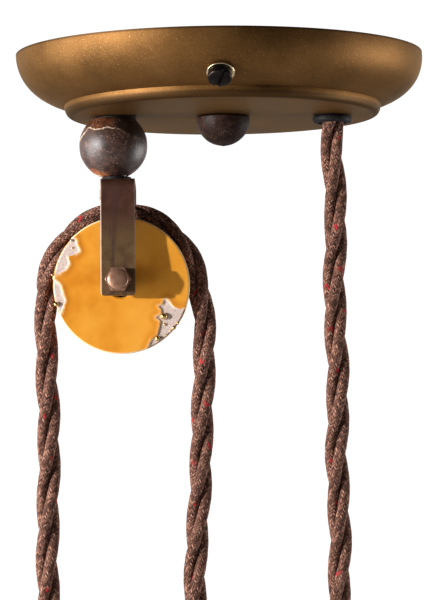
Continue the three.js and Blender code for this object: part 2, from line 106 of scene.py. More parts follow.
OVER_PULLEY = [
    (-0.0059, -0.0841), (-0.00593, -0.083), (-0.0064, -0.0765), (-0.0076, -0.0687), (-0.00985, -0.0611),
    (-0.01395, -0.0548), (-0.0197, -0.05), (-0.02665, -0.04755), (-0.0339, -0.04765), (-0.04085, -0.0503),
    (-0.0465, -0.0551), (-0.0505, -0.0614), (-0.05247, -0.0679), (-0.0525, -0.0687),
]
LEFT_RUN = [
    (-0.0525, -0.0691), (-0.0527, -0.083), (-0.0524, -0.096), (-0.052, -0.109), (-0.0521, -0.122),
    (-0.0524, -0.135), (-0.05265, -0.148), (-0.05255, -0.16), (-0.0526, -0.176),
]
FLEX_TOP = (0.0322, -0.0086)  # where the strands part, above the cord clamp
PULLEY_Z = -0.06825
PULLEY_LEAN = math.radians(5.2)  # the top of the pulley comes forward, and the flex with it

STRAND_RADIUS = 0.00166
STRAND_OFFSET = 0.00185  # from the middle of the flex to the middle of a strand
RING_SPACING = 0.00045
RING_POINTS = 24
ROUTE_SPACING = 0.006

# Turns of the twist at some lengths along the flex, in metres from FLEX_TOP.
TWIST = [
    (0, -0.25), (0.0144, 0.022), (0.0418, 0.519), (0.0966, 1.579), (0.1516, 2.656), (0.2752, 4.957),
    (0.3242, 5.936), (0.3483, 6.411), (0.4504, 8.341), (0.476, 8.837), (0.5278, 9.803), (0.56, 10.42),
]
BRAID_COLUMNS = 12  # of slanting threads round a strand
BRAID_PITCH = 1.0  # millimetres between threads along a strand
BRAID_SLANT = 0.8
BRAID_RELIEF = 0.04  # of the strand's radius
BRAID_STAGGER = 37.3  # millimetres; each strand's braid starts a third of this further along
TRACER_SPACING = 17.0  # threads from one red mark to the next


def centripetal(points, steps=24):
    """A smooth curve through points, with the same parameters as the route of the CAD model's tubes."""
    points = np.array(points, float)
    padded = np.vstack([2 * points[0] - points[1], points, 2 * points[-1] - points[-2]])
    spans = np.sqrt(np.linalg.norm(np.diff(padded, axis=0), axis=1))
    curve = []
    for i in range(1, len(padded) - 2):
        p0, p1, p2, p3 = padded[i - 1 : i + 3]
        before, span, after = spans[i - 1 : i + 2]
        leave = span * ((p1 - p0) / before - (p2 - p0) / (before + span) + (p2 - p1) / span)
        reach = span * ((p2 - p1) / span - (p3 - p1) / (span + after) + (p3 - p2) / after)
        for t in np.arange(steps) / steps:
            t2, t3 = t * t, t * t * t
            curve.append((2 * t3 - 3 * t2 + 1) * p1 + (t3 - 2 * t2 + t) * leave
                         + (3 * t2 - 2 * t3) * p2 + (t3 - t2) * reach)
    curve.append(points[-1])
    return np.array(curve)


def lengths_along(curve):
    return np.concatenate([[0], np.cumsum(np.linalg.norm(np.diff(curve, axis=0), axis=1))])


def leaning(x, z):
    return (x, -max(z - PULLEY_Z, 0) * math.tan(PULLEY_LEAN), z)


FLEX = centripetal(
    [(x, 0, z) for x, z in [FLEX_TOP, *RIGHT_RUN, *UNDER_COUNTER_WHEEL, *MIDDLE_RUN]]
    + [leaning(x, z) for x, z in OVER_PULLEY]
    + [(x, 0, z) for x, z in LEFT_RUN]
)
FLEX_LENGTHS = lengths_along(FLEX)


def flex_length_at(point):
    """The length along the flex where it passes an [x, z] point of its route."""
    gap = np.linalg.norm(FLEX[:, [0, 2]] - np.array(point), axis=1)
    return FLEX_LENGTHS[np.argmin(gap)]


def flex_at(lengths):
    return np.stack([np.interp(lengths, FLEX_LENGTHS, FLEX[:, axis]) for axis in range(3)], axis=1)


def unit(vectors):
    return vectors / np.linalg.norm(vectors, axis=1, keepdims=True)


def braid_height(along, around):
    """How far a strand's surface stands up, 0 to 1: threads in columns that slant one way and the other."""
    column = around * BRAID_COLUMNS
    odd = np.floor(column) % 2
    across = column % 1
    thread = (along / BRAID_PITCH + (1 - 2 * odd) * (across - 0.5) * BRAID_SLANT + 0.5 * odd) % 1
    return (1 - (2 * thread - 1) ** 2) * (1 - (2 * across - 1) ** 4)


def strand(lengths, turn):
    """Rings of points round one strand that starts at this part of a turn, and how far along each is."""
    centre = flex_at(lengths)
    tangent = unit(np.gradient(centre, axis=0))
    front = np.array([0, -1.0, 0])
    towards = unit(front - tangent * (tangent @ front)[:, None])
    beside = np.cross(towards, tangent)
    angle = 2 * np.pi * (np.interp(lengths, *np.transpose(TWIST)) + turn)
    middle = centre + STRAND_OFFSET * (np.cos(angle)[:, None] * beside + np.sin(angle)[:, None] * towards)
    along = unit(np.gradient(middle, axis=0))
    outward = middle - centre
    outward = unit(outward - along * np.sum(outward * along, axis=1)[:, None])
    sideways = np.cross(along, outward)
    around = np.arange(RING_POINTS) / RING_POINTS
    millimetres = lengths / MM + BRAID_STAGGER * turn
    swell = 1 + BRAID_RELIEF * (braid_height(millimetres[:, None], around[None, :]) - 0.5)
    ring_angle = 2 * np.pi * around
    rings = (middle[:, None] + STRAND_RADIUS * swell[..., None]
             * (np.cos(ring_angle)[None, :, None] * outward[:, None]
                + np.sin(ring_angle)[None, :, None] * sideways[:, None]))
    return rings, millimetres


def flex_piece(name, start, end):
    """The three strands of the flex between two lengths, as one mesh of three closed tubes."""
    count = max(8, round((end - start) / RING_SPACING))
    lengths = np.linspace(start, end, count)
    vertices, faces, uvs = [], [], []
    for turn in (0, 1 / 3, 2 / 3):
        rings, millimetres = strand(lengths, turn)
        base = sum(len(v) for v in vertices)
        vertices.append(rings.reshape(-1, 3))
        for i in range(count - 1):
            for j in range(RING_POINTS):
                k = (j + 1) % RING_POINTS
                low, high = base + i * RING_POINTS, base + (i + 1) * RING_POINTS
                faces.append((low + j, low + k, high + k, high + j))
                near, far = j / RING_POINTS, (j + 1) / RING_POINTS
                uvs += [(millimetres[i], near), (millimetres[i], far),
                        (millimetres[i + 1], far), (millimetres[i + 1], near)]
        for ring, order in ((0, range(RING_POINTS - 1, -1, -1)), (count - 1, range(RING_POINTS))):
            faces.append(tuple(base + ring * RING_POINTS + j for j in order))
            uvs += [(millimetres[ring], j / RING_POINTS) for j in order]
    mesh = bpy.data.meshes.new(name)
    mesh.from_pydata(np.concatenate(vertices).tolist(), [], faces)
    layer = mesh.uv_layers.new(name="braid")
    layer.data.foreach_set("uv", np.array(uvs, np.float32).ravel())
    mesh.shade_smooth()
    obj = bpy.data.objects.new(name, mesh)
    bpy.context.collection.objects.link(obj)
    return obj


def route_points(start, end):
    count = max(15, round((end - start) / ROUTE_SPACING))
    return flex_at(np.linspace(start, end, count)).tolist()


FLEX_CUTS = [
    0,
    flex_length_at(RIGHT_RUN[-1]),
    flex_length_at(MIDDLE_RUN[0]),
    flex_length_at(MIDDLE_RUN[-1]),
    flex_length_at(LEFT_RUN[0]),
    FLEX_LENGTHS[-1],
]
FLEX_NAMES = ("right_run", "under_counter_wheel", "middle_run", "over_pulley", "left_run")
FLEX_PIECES = [
    (flex_piece(f"flex_{name}", start, end), start, end)
    for name, start, end in zip(FLEX_NAMES, FLEX_CUTS, FLEX_CUTS[1:])
]


# ---- Shader helpers ----


class Field:
    """A number, colour or place that varies over a surface. Arithmetic on it adds math nodes."""

    def __init__(self, shader, socket):
        self.shader = shader
        self.socket = socket

    def __add__(self, other):
        return self.shader.math("ADD", self, other)

    def __sub__(self, other):
        return self.shader.math("SUBTRACT", self, other)

    def __rsub__(self, other):
        return self.shader.math("SUBTRACT", other, self)

    def __mul__(self, other):
        return self.shader.math("MULTIPLY", self, other)

    def __truediv__(self, other):
        return self.shader.math("DIVIDE", self, other)

    def __mod__(self, other):
        return self.shader.math("MODULO", self, other)

    def __lt__(self, other):
        return self.shader.math("LESS_THAN", self, other)

    def __abs__(self):
        return self.shader.math("ABSOLUTE", self)

    def __floor__(self):
        return self.shader.math("FLOOR", self)

    __radd__ = __add__
    __rmul__ = __mul__


class Shader:
    """A material's node tree, with short calls for the nodes that the materials here use."""

    def __init__(self, name, colour, roughness, metallic=0.0, **sockets):
        self.material = bpy.data.materials.new(name)
        self.material.use_nodes = True
        self.tree = self.material.node_tree
        self.surface = self.tree.nodes["Principled BSDF"]
        self.set("Base Color", colour)
        self.set("Roughness", roughness)
        self.set("Metallic", metallic)
        for socket, value in sockets.items():
            self.set(socket.replace("_", " "), value)
        self.place = self.field("ShaderNodeTexCoord", "Object")

    def field(self, kind, output, inputs=(), **settings):
        """Adds a node, fills its inputs, each a pair of a key and a value, and returns one output."""
        node = self.tree.nodes.new(kind)
        for key, value in settings.items():
            setattr(node, key, value)
        for key, value in inputs:
            self.plug(value, node.inputs[key])
        return Field(self, node.outputs[output])

    def plug(self, value, socket):
        """Links a field or sets a number or a colour."""
        if isinstance(value, Field):
            self.tree.links.new(value.socket, socket)
        elif socket.type == "RGBA" and len(value) == 3:
            socket.default_value = (*value, 1)
        else:
            socket.default_value = value

    def set(self, name, value):
        self.plug(value, self.surface.inputs[name])

    def math(self, operation, *values):
        return self.field("ShaderNodeMath", 0, enumerate(values), operation=operation)

    def noise(self, scale, detail=4.0, roughness=0.55, distortion=0.0, at=None):
        names = ("Vector", "Scale", "Detail", "Roughness", "Distortion")
        values = (at or self.place, scale, detail, roughness, distortion)
        return self.field("ShaderNodeTexNoise", "Fac", zip(names, values))

    def speckle(self, scale):
        """The distance from the nearest of many scattered points, in units of their spacing."""
        return self.field("ShaderNodeTexVoronoi", "Distance", [("Vector", self.place), ("Scale", scale)])

    def hash(self, x, y, z):
        """A random number from 0 to 1 for three numbers."""
        vector = self.field("ShaderNodeCombineXYZ", 0, enumerate((x, y, z)))
        return self.field("ShaderNodeTexWhiteNoise", "Value", [("Vector", vector)], noise_dimensions="3D")

    def parts(self, vector):
        node = self.tree.nodes.new("ShaderNodeSeparateXYZ")
        self.plug(vector, node.inputs[0])
        return [Field(self, socket) for socket in node.outputs]

    def stretched(self, x, y, z):
        """Object coordinates scaled along each axis."""
        return self.field("ShaderNodeMapping", 0, [("Vector", self.place), ("Scale", (x, y, z))])

    def step(self, value, low, high):
        """0 at low, 1 at high and smooth between; low may be the larger."""
        inputs = [("Value", value), ("From Min", low), ("From Max", high)]
        return self.field("ShaderNodeMapRange", "Result", inputs, interpolation_type="SMOOTHSTEP")

    def ramp(self, value, *stops):
        """A colour that follows a number, through stops of a position and a colour."""
        node = self.tree.nodes.new("ShaderNodeValToRGB")
        elements = node.color_ramp.elements
        while len(elements) < len(stops):
            elements.new(0.5)
        for element, (position, colour) in zip(elements, stops):
            element.position = position
            element.color = (*colour, 1)
        self.plug(value, node.inputs["Fac"])
        return Field(self, node.outputs["Color"])

    def mix(self, amount, a, b):
        return self.field("ShaderNodeMix", 2, [("Factor", amount), (6, a), (7, b)], data_type="RGBA")

    def finish(self, colour, height, distance, strength, roughness=None):
        """Sets the colour, the relief and, where it varies, the roughness, and returns the material."""
        self.set("Base Color", colour)
        if roughness is not None:
            self.set("Roughness", roughness)
        relief = [("Height", height), ("Distance", distance), ("Strength", strength)]
        self.set("Normal", self.field("ShaderNodeBump", "Normal", relief))
        return self.material


# ---- Materials ----


def bronze_paint():
    """Golden-brown antique bronze paint, cloudy and grainy, with dirt, a dark line round the top of the rim
    and painted shade on the side of the step.
    """
    shader = Shader("canopy_bronze", (0.17, 0.08, 0.024), 0.5, 0.85, Specular_Tint=(0.9, 0.79, 0.64, 1))
    cloud = shader.noise(55, 5, 0.6)
    grain = shader.noise(2400, 2)
    colour = shader.ramp(
        cloud,
        (0.3, (0.09, 0.04, 0.01)),
        (0.52, (0.132, 0.06, 0.016)),
        (0.72, (0.172, 0.082, 0.026)),
    )
    colour = shader.mix(shader.step(grain, 0.56, 0.8), colour, (0.27, 0.14, 0.05))
    colour = shader.mix(shader.step(grain, 0.44, 0.2), colour, (0.07, 0.032, 0.01))
    dirt = shader.step(shader.noise(420, 5, 0.7, 1.2), 0.66, 0.74)
    colour = shader.mix(dirt * 0.5, colour, (0.05, 0.025, 0.01))
    x, y, height = shader.parts(shader.place)
    radius = shader.math("SQRT", x * x + y * y)
    # A dark line round the top of the rim, and painted shade on the side of the step just above the flat
    # bottom.
    rim = shader.step(height, -0.0008, -0.0003)
    step = shader.step(height, -0.016, -0.0168) * shader.step(radius, 0.0439, 0.0446)
    line = shader.math("MAXIMUM", rim, step)
    colour = shader.mix(line * 0.75, colour, (0.035, 0.016, 0.005))
    return shader.finish(colour, grain, 0.00005, 0.4, cloud * 0.16 + 0.46)


def strap_bronze():
    """Dark bronze, purple-brown at the top of the strap and olive lower down, with pale edges that are partly
    wear and partly a painted highlight, strong on the left edge and faint on the right.
    """
    shader = Shader("strap_bronze", (0.1, 0.06, 0.035), 0.5, 0.65)
    mottle = shader.noise(420, 6, 0.65, 0.4)
    streaks = shader.noise(500, 3, 0.5, 0.0, shader.stretched(1, 1, 0.08))
    across, _, height = shader.parts(shader.place)
    purple = shader.ramp(mottle, (0.3, (0.065, 0.024, 0.015)), (0.7, (0.12, 0.048, 0.03)))
    olive = shader.ramp(mottle, (0.3, (0.13, 0.07, 0.03)), (0.7, (0.2, 0.115, 0.052)))
    lower_down = shader.step((mottle - 0.5) * 0.012 + height, -0.008, -0.02)
    colour = shader.mix(lower_down, purple, olive)
    colour = shader.mix(shader.step(streaks, 0.5, 0.7) * 0.6, colour, (0.07, 0.034, 0.03))
    side = abs(across)
    # The pale edges: partly wear, broken up by the mottle, and partly a painted highlight.
    worn_edge_and_highlight = shader.step(side, 0.0047, 0.00482) * shader.step(side, 0.00506, 0.00502)
    worn_edge_and_highlight = worn_edge_and_highlight * shader.step(mottle, 0.25, 0.45)
    # Painted highlight: full strength on the left edge, which faces the key light, and a tenth of it on the
    # right.
    strength = shader.step(across, 0.001, -0.001) * 0.9 + 0.1
    colour = shader.mix(worn_edge_and_highlight * strength, colour, (0.8, 0.62, 0.52))
    return shader.finish(colour, mottle, 0.00004, 0.5, mottle * 0.3 + 0.34)


def simple_metal(name, dark, light, roughness, metallic=0.9, scale=500):
    """A metal whose colour and polish vary a little over its surface."""
    shader = Shader(name, light, roughness, metallic)
    mottle = shader.noise(scale, 5, 0.6)
    scratches = shader.noise(300, 3, 0.6, 0.0, shader.stretched(6, 6, 0.6))
    colour = shader.ramp(mottle, (0.3, dark), (0.7, light))
    return shader.finish(colour, mottle + scratches, 0.00003, 0.5)


# The crackle line round the front of the ball, in millimetres from its middle: across and up.
CRACKLE = [
    (-9.6, 1.6), (-8.5, 3.1), (-7.1, 4.8), (-4.85, 3.6), (-2.2, 4.3),
    (0.7, 4), (2.6, 3.6), (4.2, 2.4), (6.7, 1.55), (8.8, 0.85),
]
CRACKLE_SPAN = 10  # the line's table runs this far to each side, and to this height


def toned(tone, colour):
    return tuple(tone * value for value in colour)


def crackled_ball(shader, plain, dark, mottle):
    """Adds the ball's orange cap above a cream crackle line, with painted shade over the cap's right side, and
    the pale glaze round its foot.
    """
    across, _, height = shader.parts(shader.place)
    wander = (shader.noise(700, 4, 0.7) - 0.5) * 0.0042
    stops = [
        ((x + CRACKLE_SPAN) / (2 * CRACKLE_SPAN), 3 * (up / CRACKLE_SPAN,))
        for x, up in CRACKLE
    ]
    line = shader.ramp(across * (1 / (2 * CRACKLE_SPAN * MM)) + 0.5, *stops)
    above = height - (wander * 0.45 + line * (CRACKLE_SPAN * MM))
    cap = shader.ramp(
        mottle,
        (0.36, (0.025, 0.008, 0.004)),
        (0.5, (0.075, 0.02, 0.006)),
        (0.66, (0.19, 0.06, 0.018)),
    )
    # Painted shade: the cap darkens towards its right side, away from the key light.
    cap = shader.mix(shader.step(across, -0.0025, 0.002), cap, dark)
    colour = shader.mix(shader.step(above, 0.0, 0.0006), plain, cap)
    broken = shader.step(across * -22.0 + shader.noise(900, 3), 0.42, 0.52)
    width = across * -0.014 + 0.00021
    crackle = shader.step(abs(above), width, width * 0.4) * (broken * 0.65 + 0.1)
    colour = shader.mix(crackle, colour, (0.62, 0.45, 0.32))
    foot = across * 0.3 + height + wander * 0.8
    colour = shader.mix(shader.step(foot, -0.0088, -0.01) * 0.75, colour, (0.38, 0.11, 0.03))
    return shader.mix(shader.step(foot, -0.0101, -0.0104), colour, (0.75, 0.52, 0.32))


def rust_glaze(name, tone, gloss, shine, crackled):
    """Mottled rust-brown glaze with pale specks."""
    shader = Shader(name, (0.06, 0.03, 0.022), gloss, Specular_IOR_Level=shine)
    mottle = shader.noise(420, 6, 0.65, 0.5)
    dark = toned(tone, (0.022, 0.009, 0.006))
    plain = toned(tone, (0.046, 0.021, 0.015))
    light = toned(tone, (0.1, 0.044, 0.028))
    colour = shader.ramp(mottle, (0.34, dark), (0.5, plain), (0.68, light))
    if crackled:
        colour = crackled_ball(shader, colour, dark, mottle)
    specks = shader.step(shader.speckle(1500), 0.28, 0.14) * shader.step(shader.noise(300, 2), 0.42, 0.58)
    colour = shader.mix(specks, colour, toned(tone, (0.33, 0.22, 0.18)))
    return shader.finish(colour, mottle, 0.0001, 0.6)


def yellow_glaze():
    """Yellow-orange glaze over pinkish clay, which shows where the glaze is chipped and thin at the rim."""
    shader = Shader("yellow_glaze", (0.83, 0.36, 0.035), 0.2)
    chip = shader.field("ShaderNodeAttribute", "Fac", attribute_name="chip")
    rim = shader.field("ShaderNodeAttribute", "Fac", attribute_name="rim")
    ragged = shader.noise(1500, 3) * 0.5 + (chip - 0.25)
    bare = shader.step(ragged, -0.04, 0.04)
    edge = shader.step(ragged, -1.0, 0.0) * shader.step(shader.noise(350, 3), 0.38, 0.56)
    pool = shader.noise(75, 3)
    glaze = shader.ramp(
        pool,
        (0.3, (0.62, 0.198, 0.011)),
        (0.48, (0.75, 0.298, 0.027)),
        (0.7, (0.82, 0.36, 0.047)),
    )
    glaze = shader.mix(shader.step(chip, -3.0, -1.0) * 0.6, glaze, (0.6, 0.19, 0.01))
    clay = shader.ramp(shader.noise(2200, 4, 0.7), (0.35, (0.5, 0.38, 0.33)), (0.6, (0.7, 0.55, 0.48)))
    thin = shader.math("MAXIMUM", edge * 0.55, rim)
    colour = shader.mix(thin, glaze, (0.88, 0.66, 0.36))
    colour = shader.mix(bare, colour, clay)
    rough = shader.noise(1800, 4, 0.7) * bare
    return shader.finish(colour, pool * 0.6 + rough, 0.00015, 0.5, bare * 0.6 + 0.2)


def plain_surface(name, colour, roughness, scale, depth, shine=0.5):
    """Rubber or plastic with a faint moulded texture."""
    shader = Shader(name, colour, roughness, Specular_IOR_Level=shine)
    grain = shader.noise(scale, 4)
    lighter = tuple(min(1.0, 1.25 * value + 0.01) for value in colour)
    return shader.finish(shader.mix(shader.step(grain, 0.35, 0.75), colour, lighter), grain, depth, 0.6)


def flex_fabric():
    """Cotton braid in brown and beige, in columns of slanting threads, with a red tracer thread and painted
    shade in the hollows between threads.
    """
    shader = Shader("flex_fabric", (0.16, 0.085, 0.06), 0.9, Specular_IOR_Level=0.2)
    uv = shader.field("ShaderNodeUVMap", "UV", uv_map="braid")
    along, around, _ = shader.parts(uv)
    column = around * BRAID_COLUMNS
    column_number = math.floor(column)
    odd = column_number % 2.0
    across = column - column_number
    tilt = (odd * -2.0 + 1.0) * (across - 0.5) * BRAID_SLANT
    thread = odd * 0.5 + (along / BRAID_PITCH + tilt)
    thread_number = math.floor(thread)
    within = thread - thread_number
    yarn = math.floor(within * 3.0)
    colour = shader.ramp(
        shader.hash(column_number, thread_number, yarn),
        (0.0, (0.052, 0.022, 0.015)),
        (0.35, (0.112, 0.047, 0.032)),
        (0.7, (0.2, 0.09, 0.06)),
        (1.0, (0.45, 0.23, 0.162)),
    )
    block = math.floor(thread_number / TRACER_SPACING)
    marked = shader.hash(block, 3.0, 1.0) * BRAID_COLUMNS
    tracer = (abs(column_number - marked) < 0.8) * (thread_number % TRACER_SPACING < 0.5)
    colour = shader.mix(tracer, colour, (0.45, 0.03, 0.035))
    bulge = within * (1.0 - within)
    dip = across * (1.0 - across)
    relief = bulge * 4.0 * shader.step(dip, 0.0, 0.14)
    # Painted shade in the hollows between the threads.
    hollow = shader.step(relief, 0.45, 0.0)
    colour = shader.mix(hollow * 0.55, colour, (0.025, 0.012, 0.009))
    return shader.finish(colour, relief, 0.00022, 0.9)


def insulation(name, colour):
    return plain_surface(name, colour, 0.45, 900, 0.00003)


LOOKS = {
    "canopy_bronze": bronze_paint(),
    "strap_bronze": strap_bronze(),
    "copper_bronze": simple_metal("copper_bronze", (0.24, 0.115, 0.07), (0.42, 0.23, 0.15), 0.4, 0.65),
    "black_steel": simple_metal("black_steel", (0.006, 0.004, 0.004), (0.022, 0.016, 0.014), 0.33, 0.9),
    "zinc_steel": simple_metal("zinc_steel", (0.42, 0.41, 0.36), (0.62, 0.6, 0.53), 0.34, 0.95, 260),
    "polished_brass": simple_metal("polished_brass", (0.66, 0.52, 0.3), (0.88, 0.76, 0.52), 0.22, 1.0, 350),
    "rust_glaze": rust_glaze("rust_glaze", 0.42, 0.5, 0.1, False),
    "yellow_glaze": yellow_glaze(),
    "black_rubber": plain_surface("black_rubber", (0.003, 0.002, 0.002), 0.6, 1500, 0.00005, 0.15),
    "white_plastic": plain_surface("white_plastic", (0.68, 0.66, 0.6), 0.45, 700, 0.00003),
    "flex_fabric": flex_fabric(),
    "wire_brown": insulation("wire_brown", (0.11, 0.045, 0.02)),
    "wire_blue": insulation("wire_blue", (0.02, 0.08, 0.3)),
    "wire_green": insulation("wire_green", (0.12, 0.25, 0.03)),
    "weight_iron": simple_metal("weight_iron", (0.09, 0.052, 0.022), (0.18, 0.11, 0.05), 0.46, 0.6, 150),
}
BALL_GLAZE = rust_glaze("ball_glaze", 0.9, 0.44, 0.5, True)
NUT_BRONZE = simple_metal("nut_bronze", (0.06, 0.03, 0.018), (0.12, 0.065, 0.035), 0.45, 0.7)
BEAD_GOLD = simple_metal("bead_gold", (0.6, 0.36, 0.1), (0.85, 0.6, 0.26), 0.18, 1.0)


# ---- Mesh helpers, in millimetres round the piece's own origin ----


def lathe(profile, segments=96, closed=False, reach=None):
    """Turns [radius, height] points about Z, anticlockwise round the material. reach may vary the radius."""
    vertices, rings, faces = [], [], []
    for radius, height in profile:
        first = len(vertices)
        count = segments if radius > 1e-6 else 1
        for i in range(count):
            angle = 2 * math.pi * i / segments
            out = reach(radius, height, i) if reach else radius
            vertices.append((out * math.cos(angle), out * math.sin(angle), height))
        rings.append(range(first, first + count))
    pairs = list(zip(rings, rings[1:]))
    if closed:
        pairs.append((rings[-1], rings[0]))
    for low, high in pairs:
        for i in range(segments):
            j = (i + 1) % segments
            corners = [low[i % len(low)], low[j % len(low)], high[j % len(high)], high[i % len(high)]]
            faces.append(list(dict.fromkeys(corners)))
    return vertices, faces


def rounded(points, radius, steps=4, closed=False):
    """The outline with its corners turned into small curves."""
    points = [Vector(p) for p in points]
    if closed:
        triples = list(zip([points[-1], *points], points, [*points[1:], points[0]]))
        result = []
    else:
        triples = list(zip(points, points[1:], points[2:]))
        result = [points[0]]
    for before, corner, after in triples:
        back, on = before - corner, after - corner
        reach = min(radius, back.length / 2.2, on.length / 2.2)
        start, end = corner + back.normalized() * reach, corner + on.normalized() * reach
        for i in range(steps + 1):
            t = i / steps
            result.append(start * (1 - t) ** 2 + corner * (2 * t * (1 - t)) + end * t * t)
    if not closed:
        result.append(points[-1])
    return [tuple(p) for p in result]


def arc(x, y, radius, start, end, steps):
    """Points on a circle from one angle to another, in degrees."""
    angles = np.radians(np.linspace(start, end, steps + 1))
    return [(x + radius * math.cos(a), y + radius * math.sin(a)) for a in angles]


def bezier(corners, steps):
    a, b, c, d = (np.array(p, float) for p in corners)
    return [
        tuple((1 - t) ** 3 * a + 3 * t * (1 - t) ** 2 * b + 3 * t * t * (1 - t) * c + t**3 * d)
        for t in np.linspace(0, 1, steps + 1)
    ]


def prism(outline, low, high):
    """A flat outline of [x, y] points pushed up from one height to another."""
    count = len(outline)
    vertices = [(x, y, z) for z in (low, high) for x, y in outline]
    faces = [[i, (i + 1) % count, count + (i + 1) % count, count + i] for i in range(count)]
    faces += [list(range(count - 1, -1, -1)), list(range(count, 2 * count))]
    return vertices, faces


def stand(obj, origin, towards=(0, 0, 1)):
    """Puts a piece that was made round its own origin at a place, with its Z towards a direction."""
    turn = Vector((0, 0, 1)).rotation_difference(Vector(towards)).to_matrix().to_4x4()
    obj.matrix_world = Matrix.Translation(origin) @ turn
    return obj


CUT_CREASE = 30  # degrees; sharper edges stay sharp on a cut piece, and are the ones that a bevel rounds


def smooth(mesh, crease):
    mesh.shade_smooth()
    mesh.set_sharp_from_angle(angle=math.radians(crease))


def solid(name, shape, origin=(0, 0, 0), towards=(0, 0, 1), crease=35):
    """A mesh object from vertices and faces; edges sharper than the crease, in degrees, stay sharp."""
    vertices, faces = shape
    mesh = bpy.data.meshes.new(name)
    mesh.from_pydata([tuple(MM * c for c in v) for v in vertices], [], faces)
    smooth(mesh, crease)
    obj = bpy.data.objects.new(name, mesh)
    bpy.context.collection.objects.link(obj)
    return stand(obj, origin, towards)


def combine(obj, tool, operation):
    """Joins, cuts or trims obj with another solid, which is used up."""
    modifier = obj.modifiers.new("combine", "BOOLEAN")
    modifier.object = tool
    modifier.operation = operation
    modifier.solver = "EXACT"
    mesh = bpy.data.meshes.new_from_object(obj.evaluated_get(bpy.context.evaluated_depsgraph_get()))
    obj.modifiers.clear()
    obj.data = mesh
    bpy.data.objects.remove(tool)
    smooth(mesh, CUT_CREASE)
    return obj


def bevel(obj, width, segments=2):
    modifier = obj.modifiers.new("bevel", "BEVEL")
    modifier.width = width * MM
    modifier.segments = segments
    modifier.limit_method = "ANGLE"
    modifier.angle_limit = math.radians(CUT_CREASE)
    return obj


def finish_piece(obj, slot, body, *nodes, look=None):
    """Gives a piece its material, from its slot unless a look is given, attaches it to the body it moves with
    and hides the CAD nodes that it stands for.
    """
    obj.data.materials.clear()
    obj.data.materials.append(look or LOOKS[slot])
    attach(obj, body)
    if nodes:
        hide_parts(*nodes)


def middle(node):
    low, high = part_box(node)
    return (Vector(low) + Vector(high)) / 2


def size(node):
    """A CAD node's extent along each axis, in millimetres."""
    low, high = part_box(node)
    return (Vector(high) - Vector(low)) / MM


def levels(node):
    """The lowest and highest level of a CAD node, in millimetres."""
    low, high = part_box(node)
    return low[2] / MM, high[2] / MM


# ---- Rings, pins, screws and nuts ----

AXLE_CLEARANCE = 2.3  # radius of the bores that the axle bolt passes through
ROD_CLEARANCE = 3.3  # and of those that a rod passes through
AXLE_FLATS = 6.7  # across the flats of the axle's hexagons
ROD_FLATS = 10  # and of the rods' nuts
TOWARDS_ROOM = (0, -1, 0)


def ring(bore, outer, low, high, soft=0.2, segments=72):
    """A flat ring with softened edges."""
    profile = [(bore, low), (outer, low), (outer, high), (bore, high)]
    return lathe(rounded(profile, soft, 3, closed=True), segments, closed=True)


def pin(radius, low, high, soft=0.4, segments=48):
    return lathe(rounded([(0, low), (radius, low), (radius, high), (0, high)], soft, 3), segments)


def slotted(name, radius, height, shank_radius, shank, slot_turn=0.0, crown=0.35):
    """A cheese-head screw: a slightly crowned slotted head above z = 0 and its shank below."""
    profile = [(0, -shank), (shank_radius, -shank), (shank_radius, 0), (radius, 0), (radius, height - 0.35)]
    profile += [(radius - 0.35, height), (radius / 2, height + 0.7 * crown), (0, height + crown)]
    screw = solid(name, lathe(rounded(profile, 0.25, 3), 64))
    half = 0.17 * radius
    far = radius + 1
    outline = [(-half, -far), (half, -far), (half, far), (-half, far)]
    slot = solid("slot", prism(outline, height * 0.58, height + 2))
    slot.matrix_world = Matrix.Rotation(slot_turn, 4, "Z")
    return combine(screw, slot, "DIFFERENCE")


def hexagon(across_flats):
    return arc(0, 0, across_flats / math.sqrt(3), 0, 300, 5)


def hex_nut(name, across_flats, bore, low, high):
    """A hexagon nut, chamfered at both ends, with its corners on X."""
    nut = solid(name, prism(hexagon(across_flats), low, high))
    flat, corner = across_flats / 2 - 0.1, across_flats / math.sqrt(3) + 0.2
    drop = (corner - flat) * math.tan(math.radians(30))
    chamfer = [(0, low), (flat, low), (corner, low + drop), (corner, high - drop), (flat, high), (0, high)]
    combine(nut, solid("chamfer", lathe(chamfer, 96)), "INTERSECT")
    combine(nut, solid("bore", pin(bore, low - 1, high + 1, 0.01)), "DIFFERENCE")
    return bevel(nut, 0.12)


def add_rod_nut(node, slot, body, turn=0.0, look=None):
    """A nut on one of the two upright rods."""
    nut = hex_nut(f"{node}_hex", ROD_FLATS, ROD_CLEARANCE, *levels(node))
    nut.matrix_world = Matrix.Translation((middle(node).x, 0, 0)) @ Matrix.Rotation(turn, 4, "Z")
    finish_piece(nut, slot, body, node, look=look)


def add_rod_ring(node, slot, body, soft=0.2):
    """A washer or a rubber ring on one of the two upright rods."""
    shape = ring(ROD_CLEARANCE, size(node).x / 2, *levels(node), soft)
    finish_piece(solid(f"{node}_ring", shape, (middle(node).x, 0, 0)), slot, body, node)


def threaded(radius, pitch, depth, segments):
    """For lathe: a thread cut into the points at this radius, and the others left as they are."""

    def reach(point_radius, height, i):
        ridge = abs(((height / pitch - i / segments) % 1) * 2 - 1)
        return radius - depth * ridge if point_radius == radius else point_radius

    return reach


def thread_points(radius, low, high, pitch):
    return [(radius, height) for height in np.arange(low, high, pitch / 6)]


def add_threaded_rod(name, node, body, radius=3.0, pitch=1.0, depth=0.3, segments=32):
    bottom, top = levels(node)
    end = radius - 0.6
    thread = thread_points(radius, bottom + 0.6, top - 0.6, pitch)
    profile = [(0, bottom), (end, bottom), *thread, (end, top), (0, top)]
    shape = lathe(profile, segments, reach=threaded(radius, pitch, depth, segments))
    finish_piece(solid(name, shape, (middle(node).x, 0, 0), crease=60), "zinc_steel", body, node)


